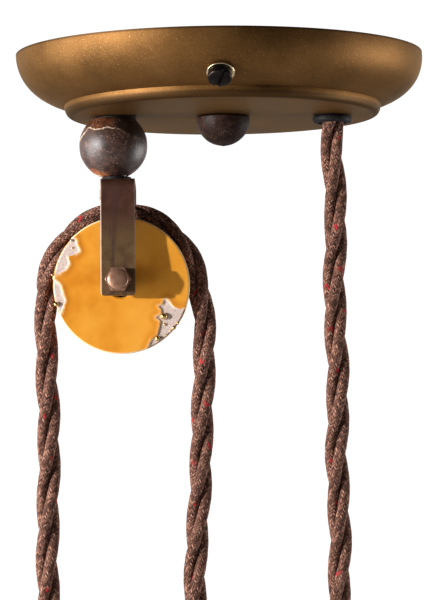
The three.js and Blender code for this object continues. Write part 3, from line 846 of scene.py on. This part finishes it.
def threaded_tube(bore, radius, low, high, pitch=1.0, depth=0.25, segments=48):
    end = radius - 0.4
    thread = thread_points(radius, low + 0.5, high - 0.5, pitch)
    profile = [(end, low), *thread, (end, high), (bore, high), (bore, low)]
    return lathe(profile, segments, closed=True, reach=threaded(radius, pitch, depth, segments))


def knurled_ring(bore, outer, low, high, teeth=36):
    """A ring with upright grooves round its edge."""
    side = [(outer - 0.5, low), (outer, low + 0.5), (outer, high - 0.5), (outer - 0.5, high)]

    def reach(radius, _, i):
        return radius - 0.35 if i % 4 == 0 and radius > bore else radius

    return lathe([(bore, low), *side, (bore, high)], 4 * teeth, closed=True, reach=reach)


def uneven(obj, amount, scale):
    """Moves each point along its normal by a smooth noise, as on a hand-glazed surface."""
    for vertex in obj.data.vertices:
        wave = noise.noise(vertex.co / (scale * MM))
        vertex.co += vertex.normal * wave * amount * MM
    return obj


# ---- The rose ----

RIM_RADIUS = size("canopy").y / 2
ROSE_DEPTH = size("canopy").z
LEDGE_DEPTH = 15.2
TIER_RADIUS = 46.7
FLAT_RADIUS = 44.4
SHEET = 1
RIM_SHIFT = -1.1  # the stepped bottom is pressed this far off the middle of the rim


def add_canopy():
    """The spun bowl: flat stepped bottom, flared side and, inside, the same shape one sheet smaller."""
    rim, tier, flat = RIM_RADIUS, TIER_RADIUS, FLAT_RADIUS
    bottom, ledge = -ROSE_DEPTH, -LEDGE_DEPTH
    floor = bottom + SHEET
    rings = (12, 28, 38)
    step = bezier([(flat, bottom), (flat + 1.6, bottom), (tier, -17.1), (tier, ledge + 0.05)], 16)
    bowl = bezier([(tier, ledge), (rim - 0.5, -11.9), (rim + 0.15, -3), (rim, 0)], 40)
    inner_bowl = bezier(
        [(rim - SHEET, 0), (rim - SHEET + 0.1, -3), (rim - 1.7, -11), (tier - 0.9, ledge + SHEET)], 30
    )
    inner_step = bezier(
        [(tier - 1, ledge + 0.6), (tier - 1, -16.4), (flat + 0.6, floor), (flat - 0.6, floor)], 10
    )
    profile = [(0, bottom), *((r, bottom) for r in rings), *step, *bowl[1:], *inner_bowl, *inner_step]
    profile += [*((r, floor) for r in reversed(rings)), (0, floor)]
    canopy = solid("canopy_shell", lathe(profile, 256), crease=40)
    for vertex in canopy.data.vertices:
        vertex.co.x += RIM_SHIFT * MM * (1 + vertex.co.z / (ROSE_DEPTH * MM))
    finish_piece(canopy, "canopy_bronze", "rose", "canopy")


SIDE_TILT = math.radians(55)
SLOT_TURN = math.radians(-17)
SIDE_WASHER = {"bore": 2.4, "outer": 4.05, "low": -0.3, "high": 0.3, "soft": 0.15}
SIDE_SCREW = {"radius": 3.5, "height": 2.1, "shank_radius": 2, "shank": 7.5, "slot_turn": SLOT_TURN}
WASHER_SHIFT = Vector((0.25 * MM, 0, 0))  # the washer hangs off the screw's centre, within its clearance


def add_side_screws():
    for name, side in (("front", -1), ("back", 1)):
        outward = Vector((0, side * math.cos(SIDE_TILT), -math.sin(SIDE_TILT)))
        at = middle(f"side_washer_{name}")
        disc = solid(f"side_washer_{name}_ring", ring(**SIDE_WASHER), at + WASHER_SHIFT, outward)
        finish_piece(disc, "polished_brass", "rose", f"side_washer_{name}")
        screw = slotted(f"side_screw_{name}_slotted", **SIDE_SCREW)
        stand(screw, at + outward * 2 * SIDE_WASHER["high"] * MM, outward)
        finish_piece(screw, "black_steel", "rose", f"side_screw_{name}")


def add_dome():
    radius = size("dome_cap").x / 2
    lowest = levels("dome_cap")[0]
    band = lowest + radius + ROSE_DEPTH + GAP
    profile = [(0, -radius - 0.18), *arc(0, 0, radius, -78, 0, 30)]
    profile += [(radius, -band - 0.25), (radius - 0.25, -band), (2.8, -band), (2.8, 5), (0, 5)]
    dome = solid("dome_glazed", lathe(profile, 96), (0, 0, (lowest + radius) * MM))
    finish_piece(uneven(dome, 0.09, 3), "rust_glaze", "rose", "dome_cap")


def add_grommet():
    """The rubber sleeve of the flex outlet, with a groove for the rose's sheet between its two lips."""
    bottom, top = levels("cord_grommet")
    outer = size("cord_grommet").x / 2
    profile = [
        (3.95, bottom + 0.5), (4.4, bottom), (outer - 0.5, bottom), (outer, bottom + 0.6),
        (outer, bottom + 1.7), (outer - 0.35, bottom + 2), (5, bottom + 2), (5, top - 1),
        (outer, top - 1), (outer, top), (3.95, top),
    ]
    shape = lathe(rounded(profile, 0.35, 3, closed=True), 96, closed=True)
    sleeve = solid("flex_grommet", shape, (middle("cord_grommet").x, 0, 0))
    finish_piece(sleeve, "black_rubber", "rose", "cord_grommet")


BALL_CENTRE = -26.75  # height of the middle of the sphere that the ball is cut from
BALL_BORE = 3.5


def add_ball():
    """The glazed ball round the rod, between the rose and the strap, with rubber above and below it."""
    bottom, top = levels("hanger_ball")
    radius = size("hanger_ball").x / 2
    x = middle("hanger_ball").x
    down, up = BALL_CENTRE - bottom, top - BALL_CENTRE
    lowest, highest = (math.degrees(math.asin(h / radius)) for h in (-down, up))
    profile = [(0, -down), *arc(0, 0, radius, lowest, highest, 64), (0, up)]
    ball = uneven(solid("ball_glazed", lathe(profile, 128)), 0.12, 4)
    bore_at = (middle("hanger_rod").x - x, 0, 0)
    combine(ball, solid("bore", pin(BALL_BORE, -radius - 1, radius + 1), bore_at), "DIFFERENCE")
    finish_piece(stand(ball, (x, 0, BALL_CENTRE * MM)), "rust_glaze", "rose", "hanger_ball", look=BALL_GLAZE)
    add_rod_ring("ball_washer", "black_rubber", "rose", 0.12)
    add_rod_ring("ball_seat", "black_rubber", "rose", 0.12)


def add_hanger():
    """The nuts, washer and rod that hold the ball and the strap under the rose."""
    add_rod_nut("jam_nut", "strap_bronze", "rose", math.radians(30), NUT_BRONZE)
    add_rod_nut("hanger_nut", "zinc_steel", "rose")
    add_threaded_rod("hanger_rod_threaded", "hanger_rod", "rose")
    add_rod_ring("hanger_washer", "zinc_steel", "rose")


# ---- Straps, axles and wheels ----

STRAP = {"thickness": 1.6, "bend": 2.6, "corner": 1.0}


def strap_shape(width, depth, drop):
    """A strap bent into a U that opens downwards. Its origin is the middle of the bridge's outer face."""
    thickness, bend, corner = STRAP["thickness"], STRAP["bend"], STRAP["corner"]
    side = depth / 2 - thickness / 2
    centre = bend - thickness / 2
    ends = [-drop + corner * (1 - math.cos(a)) for a in np.linspace(0, RIGHT_ANGLE, 7)]
    arm = [(side, z) for z in ends] + [(side, z) for z in np.linspace(-drop + corner + 1, -bend - 1, 12)]
    bridge = [(y, -thickness / 2) for y in np.linspace(side - centre - 1, 1, 6)]
    half = arm + arc(side - centre, -bend, centre, 0, 90, 12) + bridge
    path = np.array(half + [(-y, z) for y, z in reversed(half)])
    tangent = unit(np.gradient(path, axis=0))
    normal = np.stack([tangent[:, 1], -tangent[:, 0]], axis=1)
    vertices, faces = [], []
    for (y, z), (ny, nz) in zip(path, normal):
        from_end = z + drop
        inset = corner - math.sqrt(max(corner**2 - max(corner - from_end, 0) ** 2, 0))
        reach = width / 2 - inset
        for x, out in ((-reach, 1), (reach, 1), (reach, -1), (-reach, -1)):
            offset = out * thickness / 2
            vertices.append((x, y + ny * offset, z + nz * offset))
    for i in range(len(path) - 1):
        for j in range(4):
            k = (j + 1) % 4
            faces.append((4 * i + j, 4 * i + k, 4 * i + 4 + k, 4 * i + 4 + j))
    last = 4 * (len(path) - 1)
    faces += [(3, 2, 1, 0), (last, last + 1, last + 2, last + 3)]
    return vertices, faces


def add_strap(name, node, body, opening):
    """opening is -1 for a U that opens downwards and 1 for one that opens upwards."""
    low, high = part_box(node)
    strap = solid(name, strap_shape(*size(node)))
    if opening > 0:
        strap.data.transform(Matrix.Rotation(math.pi, 4, "X"))
    stand(strap, (middle(node).x, 0, high[2] if opening < 0 else low[2]))
    bevel(strap, 0.28, 3)
    finish_piece(strap, "strap_bronze", body, node)


def from_front(node):
    """Where a CAD node starts and ends on an axis that points at the room, in millimetres."""
    low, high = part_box(node)
    return -high[1] / MM, -low[1] / MM


def add_axle(prefix, body):
    """The bolt with its domed head in front, its nut behind and a spacer on each side of the wheel."""
    bolt = f"{prefix}axle_bolt"
    at = Vector((middle(bolt).x, 0, middle(bolt).z))
    end, tip = from_front(bolt)
    face = tip - 3.3
    head = solid(f"{bolt}_head", prism(hexagon(AXLE_FLATS), face, face + 2.4))
    chamfer = [(0, face), (5, face), (5, face + 1.7), (3.6, face + 2.4), (0, face + 2.4)]
    combine(head, solid("chamfer", lathe(chamfer, 96)), "INTERSECT")
    bevel(head, 0.15)
    crown = [
        (0, face + 2), (3.2, face + 2), (3.15, face + 2.4), (2.85, face + 2.8), (2.2, face + 3.06),
        (1.2, face + 3.25), (0, tip),
    ]
    combine(head, solid("crown", lathe(rounded(crown, 0.3, 3), 96)), "UNION")
    combine(head, solid("shank", pin(2, end, face + 0.5)), "UNION")
    finish_piece(stand(head, at, TOWARDS_ROOM), "copper_bronze", body, bolt)
    node = f"{prefix}axle_nut"
    nut = hex_nut(f"{node}_hex", AXLE_FLATS, AXLE_CLEARANCE, *from_front(node))
    finish_piece(stand(nut, at, TOWARDS_ROOM), "copper_bronze", body, node)
    for side in ("front", "back"):
        node = f"{prefix}axle_spacer_{side}"
        spacer = solid(f"{node}_ring", ring(AXLE_CLEARANCE, 3.4, *from_front(node)), at, TOWARDS_ROOM)
        finish_piece(spacer, "black_steel", body, node)


# Where the glaze has come off the front of the pulley: outlines in millimetres from its middle, X right
# and Y up. Points farther out than the rim only close an outline.
CHIPS = [
    [
        (-17, 15), (-15.3, 13.4), (-14.3, 14), (-13.3, 14.1), (-12.8, 12.4), (-12.1, 10.2), (-13.2, 9.4),
        (-14.4, 8.9), (-15.6, 8.6), (-15.2, 6.4), (-16.2, 4.7), (-18.2, 3.6), (-20, 3.1), (-22, 3.2),
        (-20, 12),
    ],
    [
        (-22, 2), (-19.6, 1.9), (-18.4, 0.9), (-17.5, 0), (-17.2, -2.4), (-16.4, -4), (-17, -6.5),
        (-17.8, -8.2), (-19.3, -8), (-22, -6),
    ],
    [
        (22, -7), (17.8, -7.1), (16.6, -6.9), (15.4, -6.5), (14.5, -5.5), (13.2, -4.1), (12.4, -4.4),
        (12.3, -5.6), (10.9, -6.1), (11.8, -7.2), (11.7, -8.4), (10.1, -9.4), (11.5, -10.6),
        (11.2, -12.3), (10.6, -14.5), (9, -15.7), (7.6, -18.6), (9, -22), (20, -16),
    ],
]
# Beads of gold lustre on the bare patches: x, y and radius.
BEADS = [
    (-19.1, -5.3, 0.75), (12.35, -9.1, 1.0), (10.5, -15.6, 0.8), (15.3, -12.5, 0.65),
    (12.6, -11.5, 0.4), (16.5, -11.2, 0.42), (-20.1, 3.3, 0.42), (-14.5, 13.4, 0.38),
    (-14.3, 11.1, 0.3), (14.2, -13.6, 0.3), (13.1, -14.7, 0.28), (12.0, -15.6, 0.25),
]
CHIP_DEPTH = 0.3
GLAZE_LIP = 0.1  # the glaze stands up this far beside a chip
GLAZE_WAVES = 0.07
FAR_FROM_CHIPS = -3.0


def inside_by(points, outline):
    """Signed distance from each point to an outline, positive inside."""
    outline = np.array(outline, float)
    nearest = np.full(len(points), np.inf)
    crossings = np.zeros(len(points), int)
    for a, b in zip(outline, np.roll(outline, -1, axis=0)):
        along = b - a
        share = np.clip((points - a) @ along / (along @ along), 0, 1)
        nearest = np.minimum(nearest, np.linalg.norm(points - a - share[:, None] * along, axis=1))
        spans = (a[1] > points[:, 1]) != (b[1] > points[:, 1])
        rise = along[1] if abs(along[1]) > 1e-9 else 1e-9
        crossings += spans & (points[:, 0] < a[0] + along[0] * (points[:, 1] - a[1]) / rise)
    return np.where(crossings % 2 == 1, nearest, -nearest)


def smoothstep(value, low, high):
    t = np.clip((value - low) / (high - low), 0, 1)
    return t * t * (3 - 2 * t)


WHEEL = {"radius": 20.1, "half": 6.5, "lip": 4, "root": 16.4, "bore": 3.5, "edge": 0.55}


def wheel_shape():
    """The outline of a grooved wheel, front at the top, with points close enough for the chips' hollows."""
    radius, half, lip, root, bore, edge = WHEEL.values()
    face = [(r, half) for r in np.arange(radius - edge - 0.3, bore + 0.6, -0.3)]
    front_edge = arc(radius - edge, half - edge, edge, 0, 90, 8)
    back_edge = arc(radius - edge, edge - half, edge, -90, 0, 6)
    sides = [(radius, -lip - 0.6), (radius, -lip), *arc(root + 3.4, 0, 3.4, 232, 128, 14)]
    groove = rounded([*sides, (radius, lip), (radius, lip + 0.6)], 0.35, 3)
    hub = [(bore + 0.5, half), (bore, half - 0.5), (bore, 0.5 - half), (bore + 0.5, -half), (12, -half)]
    return [*back_edge, *groove, *front_edge, *face, *hub]


def add_wheel(name, node, body, towards, chips, beads=()):
    """A glazed wheel with its chips hollowed out; the glaze finds them by the point values chip and rim."""
    wheel = solid(name, lathe(wheel_shape(), 420, closed=True), middle(node), towards)
    mesh = wheel.data
    count = len(mesh.vertices)
    places = np.empty(3 * count, np.float32)
    normals = np.empty(3 * count, np.float32)
    mesh.vertices.foreach_get("co", places)
    mesh.vertex_normals.foreach_get("vector", normals)
    places, normals = places.reshape(-1, 3) / MM, normals.reshape(-1, 3)
    bare = np.full(count, FAR_FROM_CHIPS)
    front = places[:, 2] > WHEEL["half"] - 2
    for outline in chips:
        bare[front] = np.maximum(bare[front], inside_by(places[front, :2], outline))
    hollow = CHIP_DEPTH * smoothstep(bare, -0.05, 0.3)
    lip = GLAZE_LIP * smoothstep(bare, -1.4, -0.3) * (bare < 0)
    waves = np.array([noise.noise(Vector(p) / 6) for p in places])
    places += normals * (GLAZE_WAVES * waves - hollow + lip)[:, None]
    mesh.vertices.foreach_set("co", (places * MM).astype(np.float32).ravel())
    from_rim = WHEEL["radius"] - np.linalg.norm(places[:, :2], axis=1)
    from_face = WHEEL["half"] - np.abs(places[:, 2])
    at_corner = smoothstep(from_rim, 0.45, 0.2) * smoothstep(np.minimum(from_rim, from_face), 0.5, 0.1)
    at_corner *= from_face < 0.5
    for key, values in (("chip", bare), ("rim", at_corner)):
        mesh.attributes.new(key, "FLOAT", "POINT").data.foreach_set("value", values.astype(np.float32))
    finish_piece(wheel, "yellow_glaze", body, node)
    if beads:
        add_beads(f"{name}_beads", middle(node), towards, beads, body)


def add_beads(name, origin, towards, beads, body):
    vertices = []
    faces = []
    for x, y, radius in beads:
        ball_vertices, ball_faces = lathe([(0, -radius), *arc(0, 0, radius, -78, 78, 12), (0, radius)], 24)
        first = len(vertices)
        depth = WHEEL["half"] - CHIP_DEPTH + 0.45 * radius
        vertices += [(x + vx, y + vy, depth + vz * 0.9) for vx, vy, vz in ball_vertices]
        faces += [[first + i for i in face] for face in ball_faces]
    finish_piece(solid(name, (vertices, faces), origin, towards), "polished_brass", body, look=BEAD_GOLD)


# ---- The counterweight ----


def add_weight():
    """The turned weight, with a bead round its waist."""
    bottom, top = levels("counter_weight")
    radius = size("counter_weight").x / 2
    lower = [(radius - 7, bottom), (radius - 2, bottom), (radius, bottom + 4), (radius, bottom + 9)]
    upper = [(radius, top - 9), (radius, top - 4), (radius - 4, top), (radius - 10, top)]
    waist = (bottom + top) / 2
    bead = [(radius, waist - 1.2), *arc(radius - 0.5, waist, 1, -60, 60, 8), (radius, waist + 1.2)]
    side = [*bezier(lower, 14), *bead, *bezier(upper, 14)]
    profile = [(ROD_CLEARANCE, bottom), *side, (ROD_CLEARANCE, top)]
    shape = lathe(profile, 128, closed=True)
    weight = uneven(solid("weight_turned", shape, (middle("counter_weight").x, 0, 0)), 0.05, 5)
    finish_piece(weight, "weight_iron", "counterweight", "counter_weight")


def add_end_nut():
    """The domed nut under the weight: a thin hexagon with a dome below."""
    top = levels("counter_end_nut")[1]
    cap = solid("counter_end_nut_domed", prism(hexagon(ROD_FLATS), top - 4, top))
    chamfer = [(0, top - 5), (5.9, top - 5), (5.9, top - 0.6), (4.9, top), (0, top)]
    combine(cap, solid("chamfer", lathe(chamfer, 96)), "INTERSECT")
    bevel(cap, 0.15)
    dome = [
        (0, top - 9.6), (1.5, top - 9.5), (2.7, top - 9), (3.8, top - 7.9), (4.5, top - 6.4),
        (4.75, top - 5), (4.75, top - 3), (0, top - 3),
    ]
    combine(cap, solid("dome", lathe(dome, 96)), "UNION")
    stand(cap, (middle("counter_end_nut").x, 0, 0))
    finish_piece(cap, "copper_bronze", "counterweight", "counter_end_nut")


def add_counterweight():
    add_weight()
    add_rod_ring("counter_washer", "zinc_steel", "counterweight")
    add_rod_nut("counter_jam_nut", "strap_bronze", "counterweight", look=NUT_BRONZE)
    add_threaded_rod("counter_rod_threaded", "counter_rod", "counterweight")
    add_end_nut()


# ---- The lamp's end of the flex ----


def add_lamp_end():
    """The cord grip and its grub screw, the hollow nipple and the knurled nut that clamps a lamp cover."""
    x = middle("lamp_grip").x
    bottom, top = levels("lamp_grip")
    profile = [
        (3.9, bottom + 8), (5.15, bottom + 8), (5.15, bottom), (7, bottom), (7, bottom + 2),
        (6.7, bottom + 2.3), (6.7, bottom + 3), (7, bottom + 3.3), (7, bottom + 12),
        (5.4, bottom + 15.5), (5, top), (3.95, top),
    ]
    shape = lathe(rounded(profile, 0.3, 3, closed=True), 96, closed=True)
    finish_piece(solid("lamp_grip_turned", shape, (x, 0, 0)), "canopy_bronze", "lamp_end", "lamp_grip")
    screw_at = (x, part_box("lamp_grip_screw")[0][1] + 1.3 * MM, middle("lamp_grip_screw").z)
    screw = slotted("lamp_grip_screw_slotted", 1.5, 1.2, 1.5, 3, RIGHT_ANGLE, 0.1)
    finish_piece(stand(screw, screw_at, TOWARDS_ROOM), "black_steel", "lamp_end", "lamp_grip_screw")
    tube = solid("lamp_nipple_tube", threaded_tube(3.4, 4.85, *levels("lamp_nipple")), (x, 0, 0), crease=60)
    finish_piece(tube, "zinc_steel", "lamp_end", "lamp_nipple")
    shape = knurled_ring(5.15, 8.5, *levels("lamp_ring_nut"))
    nut = solid("lamp_ring_nut_knurled", shape, (x, 0, 0), crease=50)
    finish_piece(nut, "copper_bronze", "lamp_end", "lamp_ring_nut")


# ---- What is kept from the CAD model: the fittings inside the rose ----

# Slot and width of the rounded edges, in millimetres.
KEPT = {
    "ceiling_bracket": ("zinc_steel", 0.3),
    "earth_screw": ("polished_brass", 0.2),
    "dome_stud": ("zinc_steel", 0.2),
    "dome_washer": ("zinc_steel", 0.15),
    "dome_nut": ("zinc_steel", 0.2),
    "cord_clamp": ("white_plastic", 0.3),
    "clamp_screw": ("zinc_steel", 0.15),
    "terminal_block": ("white_plastic", 0.4),
    "terminal_screw_live": ("polished_brass", 0.15),
    "terminal_screw_neutral": ("polished_brass", 0.15),
    "terminal_screw_earth": ("polished_brass", 0.15),
    "wire_live": ("wire_brown", 0),
    "wire_neutral": ("wire_blue", 0),
    "wire_earth": ("wire_green", 0),
}


def dress_kept_nodes():
    for node, (slot, width) in KEPT.items():
        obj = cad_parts[node]
        if not obj.material_slots:
            obj.data.materials.append(LOOKS[slot])
        for material_slot in obj.material_slots:
            material_slot.material = LOOKS[slot]
        if width:
            bevel(obj, width)


# ---- Putting it together ----

# Each stretch of the flex: its CAD nodes, the bodies at its ends and, if it stretches, between which places.
FLEX_RIDES = [
    (["cord_right_run", "cord_tail"], "rose", "counterweight", (0.0321, 0, -0.0215), (0.0322, 0, -0.1855)),
    (["cord_under_wheel"], "counterweight", "counterweight"),
    (["cord_middle_run"], "rose", "counterweight", (-0.006, 0, -0.086), (-0.0098, 0, -0.1855)),
    (["cord_over_wheel"], "rose", "rose"),
    (["cord_left_run"], "rose", "lamp_end", (-0.0525, 0, -0.0705), (-0.0526, 0, -0.171)),
]


def dress_flex():
    """Materials of each stretch of the flex, and the body of each stretch that does not stretch."""
    for (obj, start, end), (nodes, first_body, last_body, *stretched) in zip(FLEX_PIECES, FLEX_RIDES):
        obj.data.materials.append(LOOKS["flex_fabric"])
        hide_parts(*nodes)
        if stretched:
            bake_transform(obj)
        else:
            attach(obj, first_body)
        at_lamp = last_body == "lamp_end"
        float(end - start)
        route_points(start, end)


PULLEY_FACES = (0, -math.cos(PULLEY_LEAN), -math.sin(PULLEY_LEAN))
COUNTER_CHIPS = [[(0.8 * y, -0.9 * x) for x, y in outline] for outline in CHIPS[:2]]

add_canopy()
add_side_screws()
add_dome()
add_grommet()
add_ball()
add_hanger()
add_strap("strap_bent", "yoke", "rose", -1)
add_axle("", "rose")
add_wheel("pulley_glazed", "pulley_wheel", "pulley", PULLEY_FACES, CHIPS, BEADS)
add_strap("counter_strap_bent", "counter_yoke", "counterweight", 1)
add_axle("counter_", "counterweight")
add_wheel("counter_pulley_glazed", "counter_wheel", "counter_pulley", TOWARDS_ROOM, COUNTER_CHIPS)
add_counterweight()
add_lamp_end()
dress_kept_nodes()
dress_flex()


# ---- Studio ----

FLOOR_HEIGHT = -0.75
LIGHT_TARGET = Vector((0, 0, -0.07))
FRONT_LIGHT = 0.045
WALL_LIGHT = 0.9
CEILING_LIGHT = 0.1
BACKDROP = 1.05


def add_floor():
    """A large pale disc under the object."""
    floor = solid("floor", lathe([(0, -10), (4000, -10), (4000, 0), (0, 0)], 96), (0, 0, FLOOR_HEIGHT))
    shader = Shader("floor", (0.6, 0.6, 0.59), 0.9)
    cloud = shader.step(shader.noise(3, 3), 0.3, 0.7)
    shader.set("Base Color", shader.mix(cloud, (0.58, 0.58, 0.57), (0.63, 0.63, 0.62)))
    floor.data.materials.append(shader.material)


def add_light(name, side, height, distance, width, tall, power):
    """A soft box that faces the rose, at angles to the right of the viewer's side and above it."""
    data = bpy.data.lights.new(name, "AREA")
    data.shape = "RECTANGLE"
    data.size = width
    data.size_y = tall
    data.energy = power
    light = bpy.data.objects.new(name, data)
    bpy.context.collection.objects.link(light)
    a, e = math.radians(side), math.radians(height)
    away = Vector((math.sin(a) * math.cos(e), -math.cos(a) * math.cos(e), math.sin(e)))
    light.location = LIGHT_TARGET + away * distance
    light.rotation_mode = "QUATERNION"
    light.rotation_quaternion = away.to_track_quat("Z", "Y")
    light.visible_camera = False


def add_world():
    """White where the camera sees past the object; it lights as a pale wall behind, dark elsewhere."""
    world = bpy.data.worlds.new("studio")
    world.use_nodes = True
    tree = world.node_tree

    def ramp(value, low, high, start, end):
        node = tree.nodes.new("ShaderNodeMapRange")
        node.interpolation_type = "SMOOTHSTEP"
        tree.links.new(value, node.inputs["Value"])
        for key, entry in (("From Min", low), ("From Max", high), ("To Min", start), ("To Max", end)):
            if isinstance(entry, bpy.types.NodeSocket):
                tree.links.new(entry, node.inputs[key])
            else:
                node.inputs[key].default_value = entry
        return node.outputs["Result"]

    direction = tree.nodes.new("ShaderNodeSeparateXYZ")
    tree.links.new(tree.nodes.new("ShaderNodeTexCoord").outputs["Generated"], direction.inputs[0])
    wall = ramp(direction.outputs["Y"], -0.4, 0.3, FRONT_LIGHT, WALL_LIGHT)
    lit = ramp(direction.outputs["Z"], 0.3, 0.7, wall, CEILING_LIGHT)
    rays = tree.nodes.new("ShaderNodeLightPath")
    strength = ramp(rays.outputs["Is Camera Ray"], 0, 1, lit, BACKDROP)
    background = tree.nodes["Background"]
    tree.links.new(strength, background.inputs["Strength"])
    background.inputs["Color"].default_value = (1, 1, 1, 1)
    bpy.context.scene.world = world


add_floor()
add_world()
add_light("key", -59.5, 1.8, 2.2, 0.07, 0.07, 70)
add_light("left_box", -84, -8, 1.6, 0.8, 1.2, 32)
add_light("right_box", 103, -22, 1.6, 0.5, 1.3, 34)
bpy.context.scene.view_settings.view_transform = "Standard"
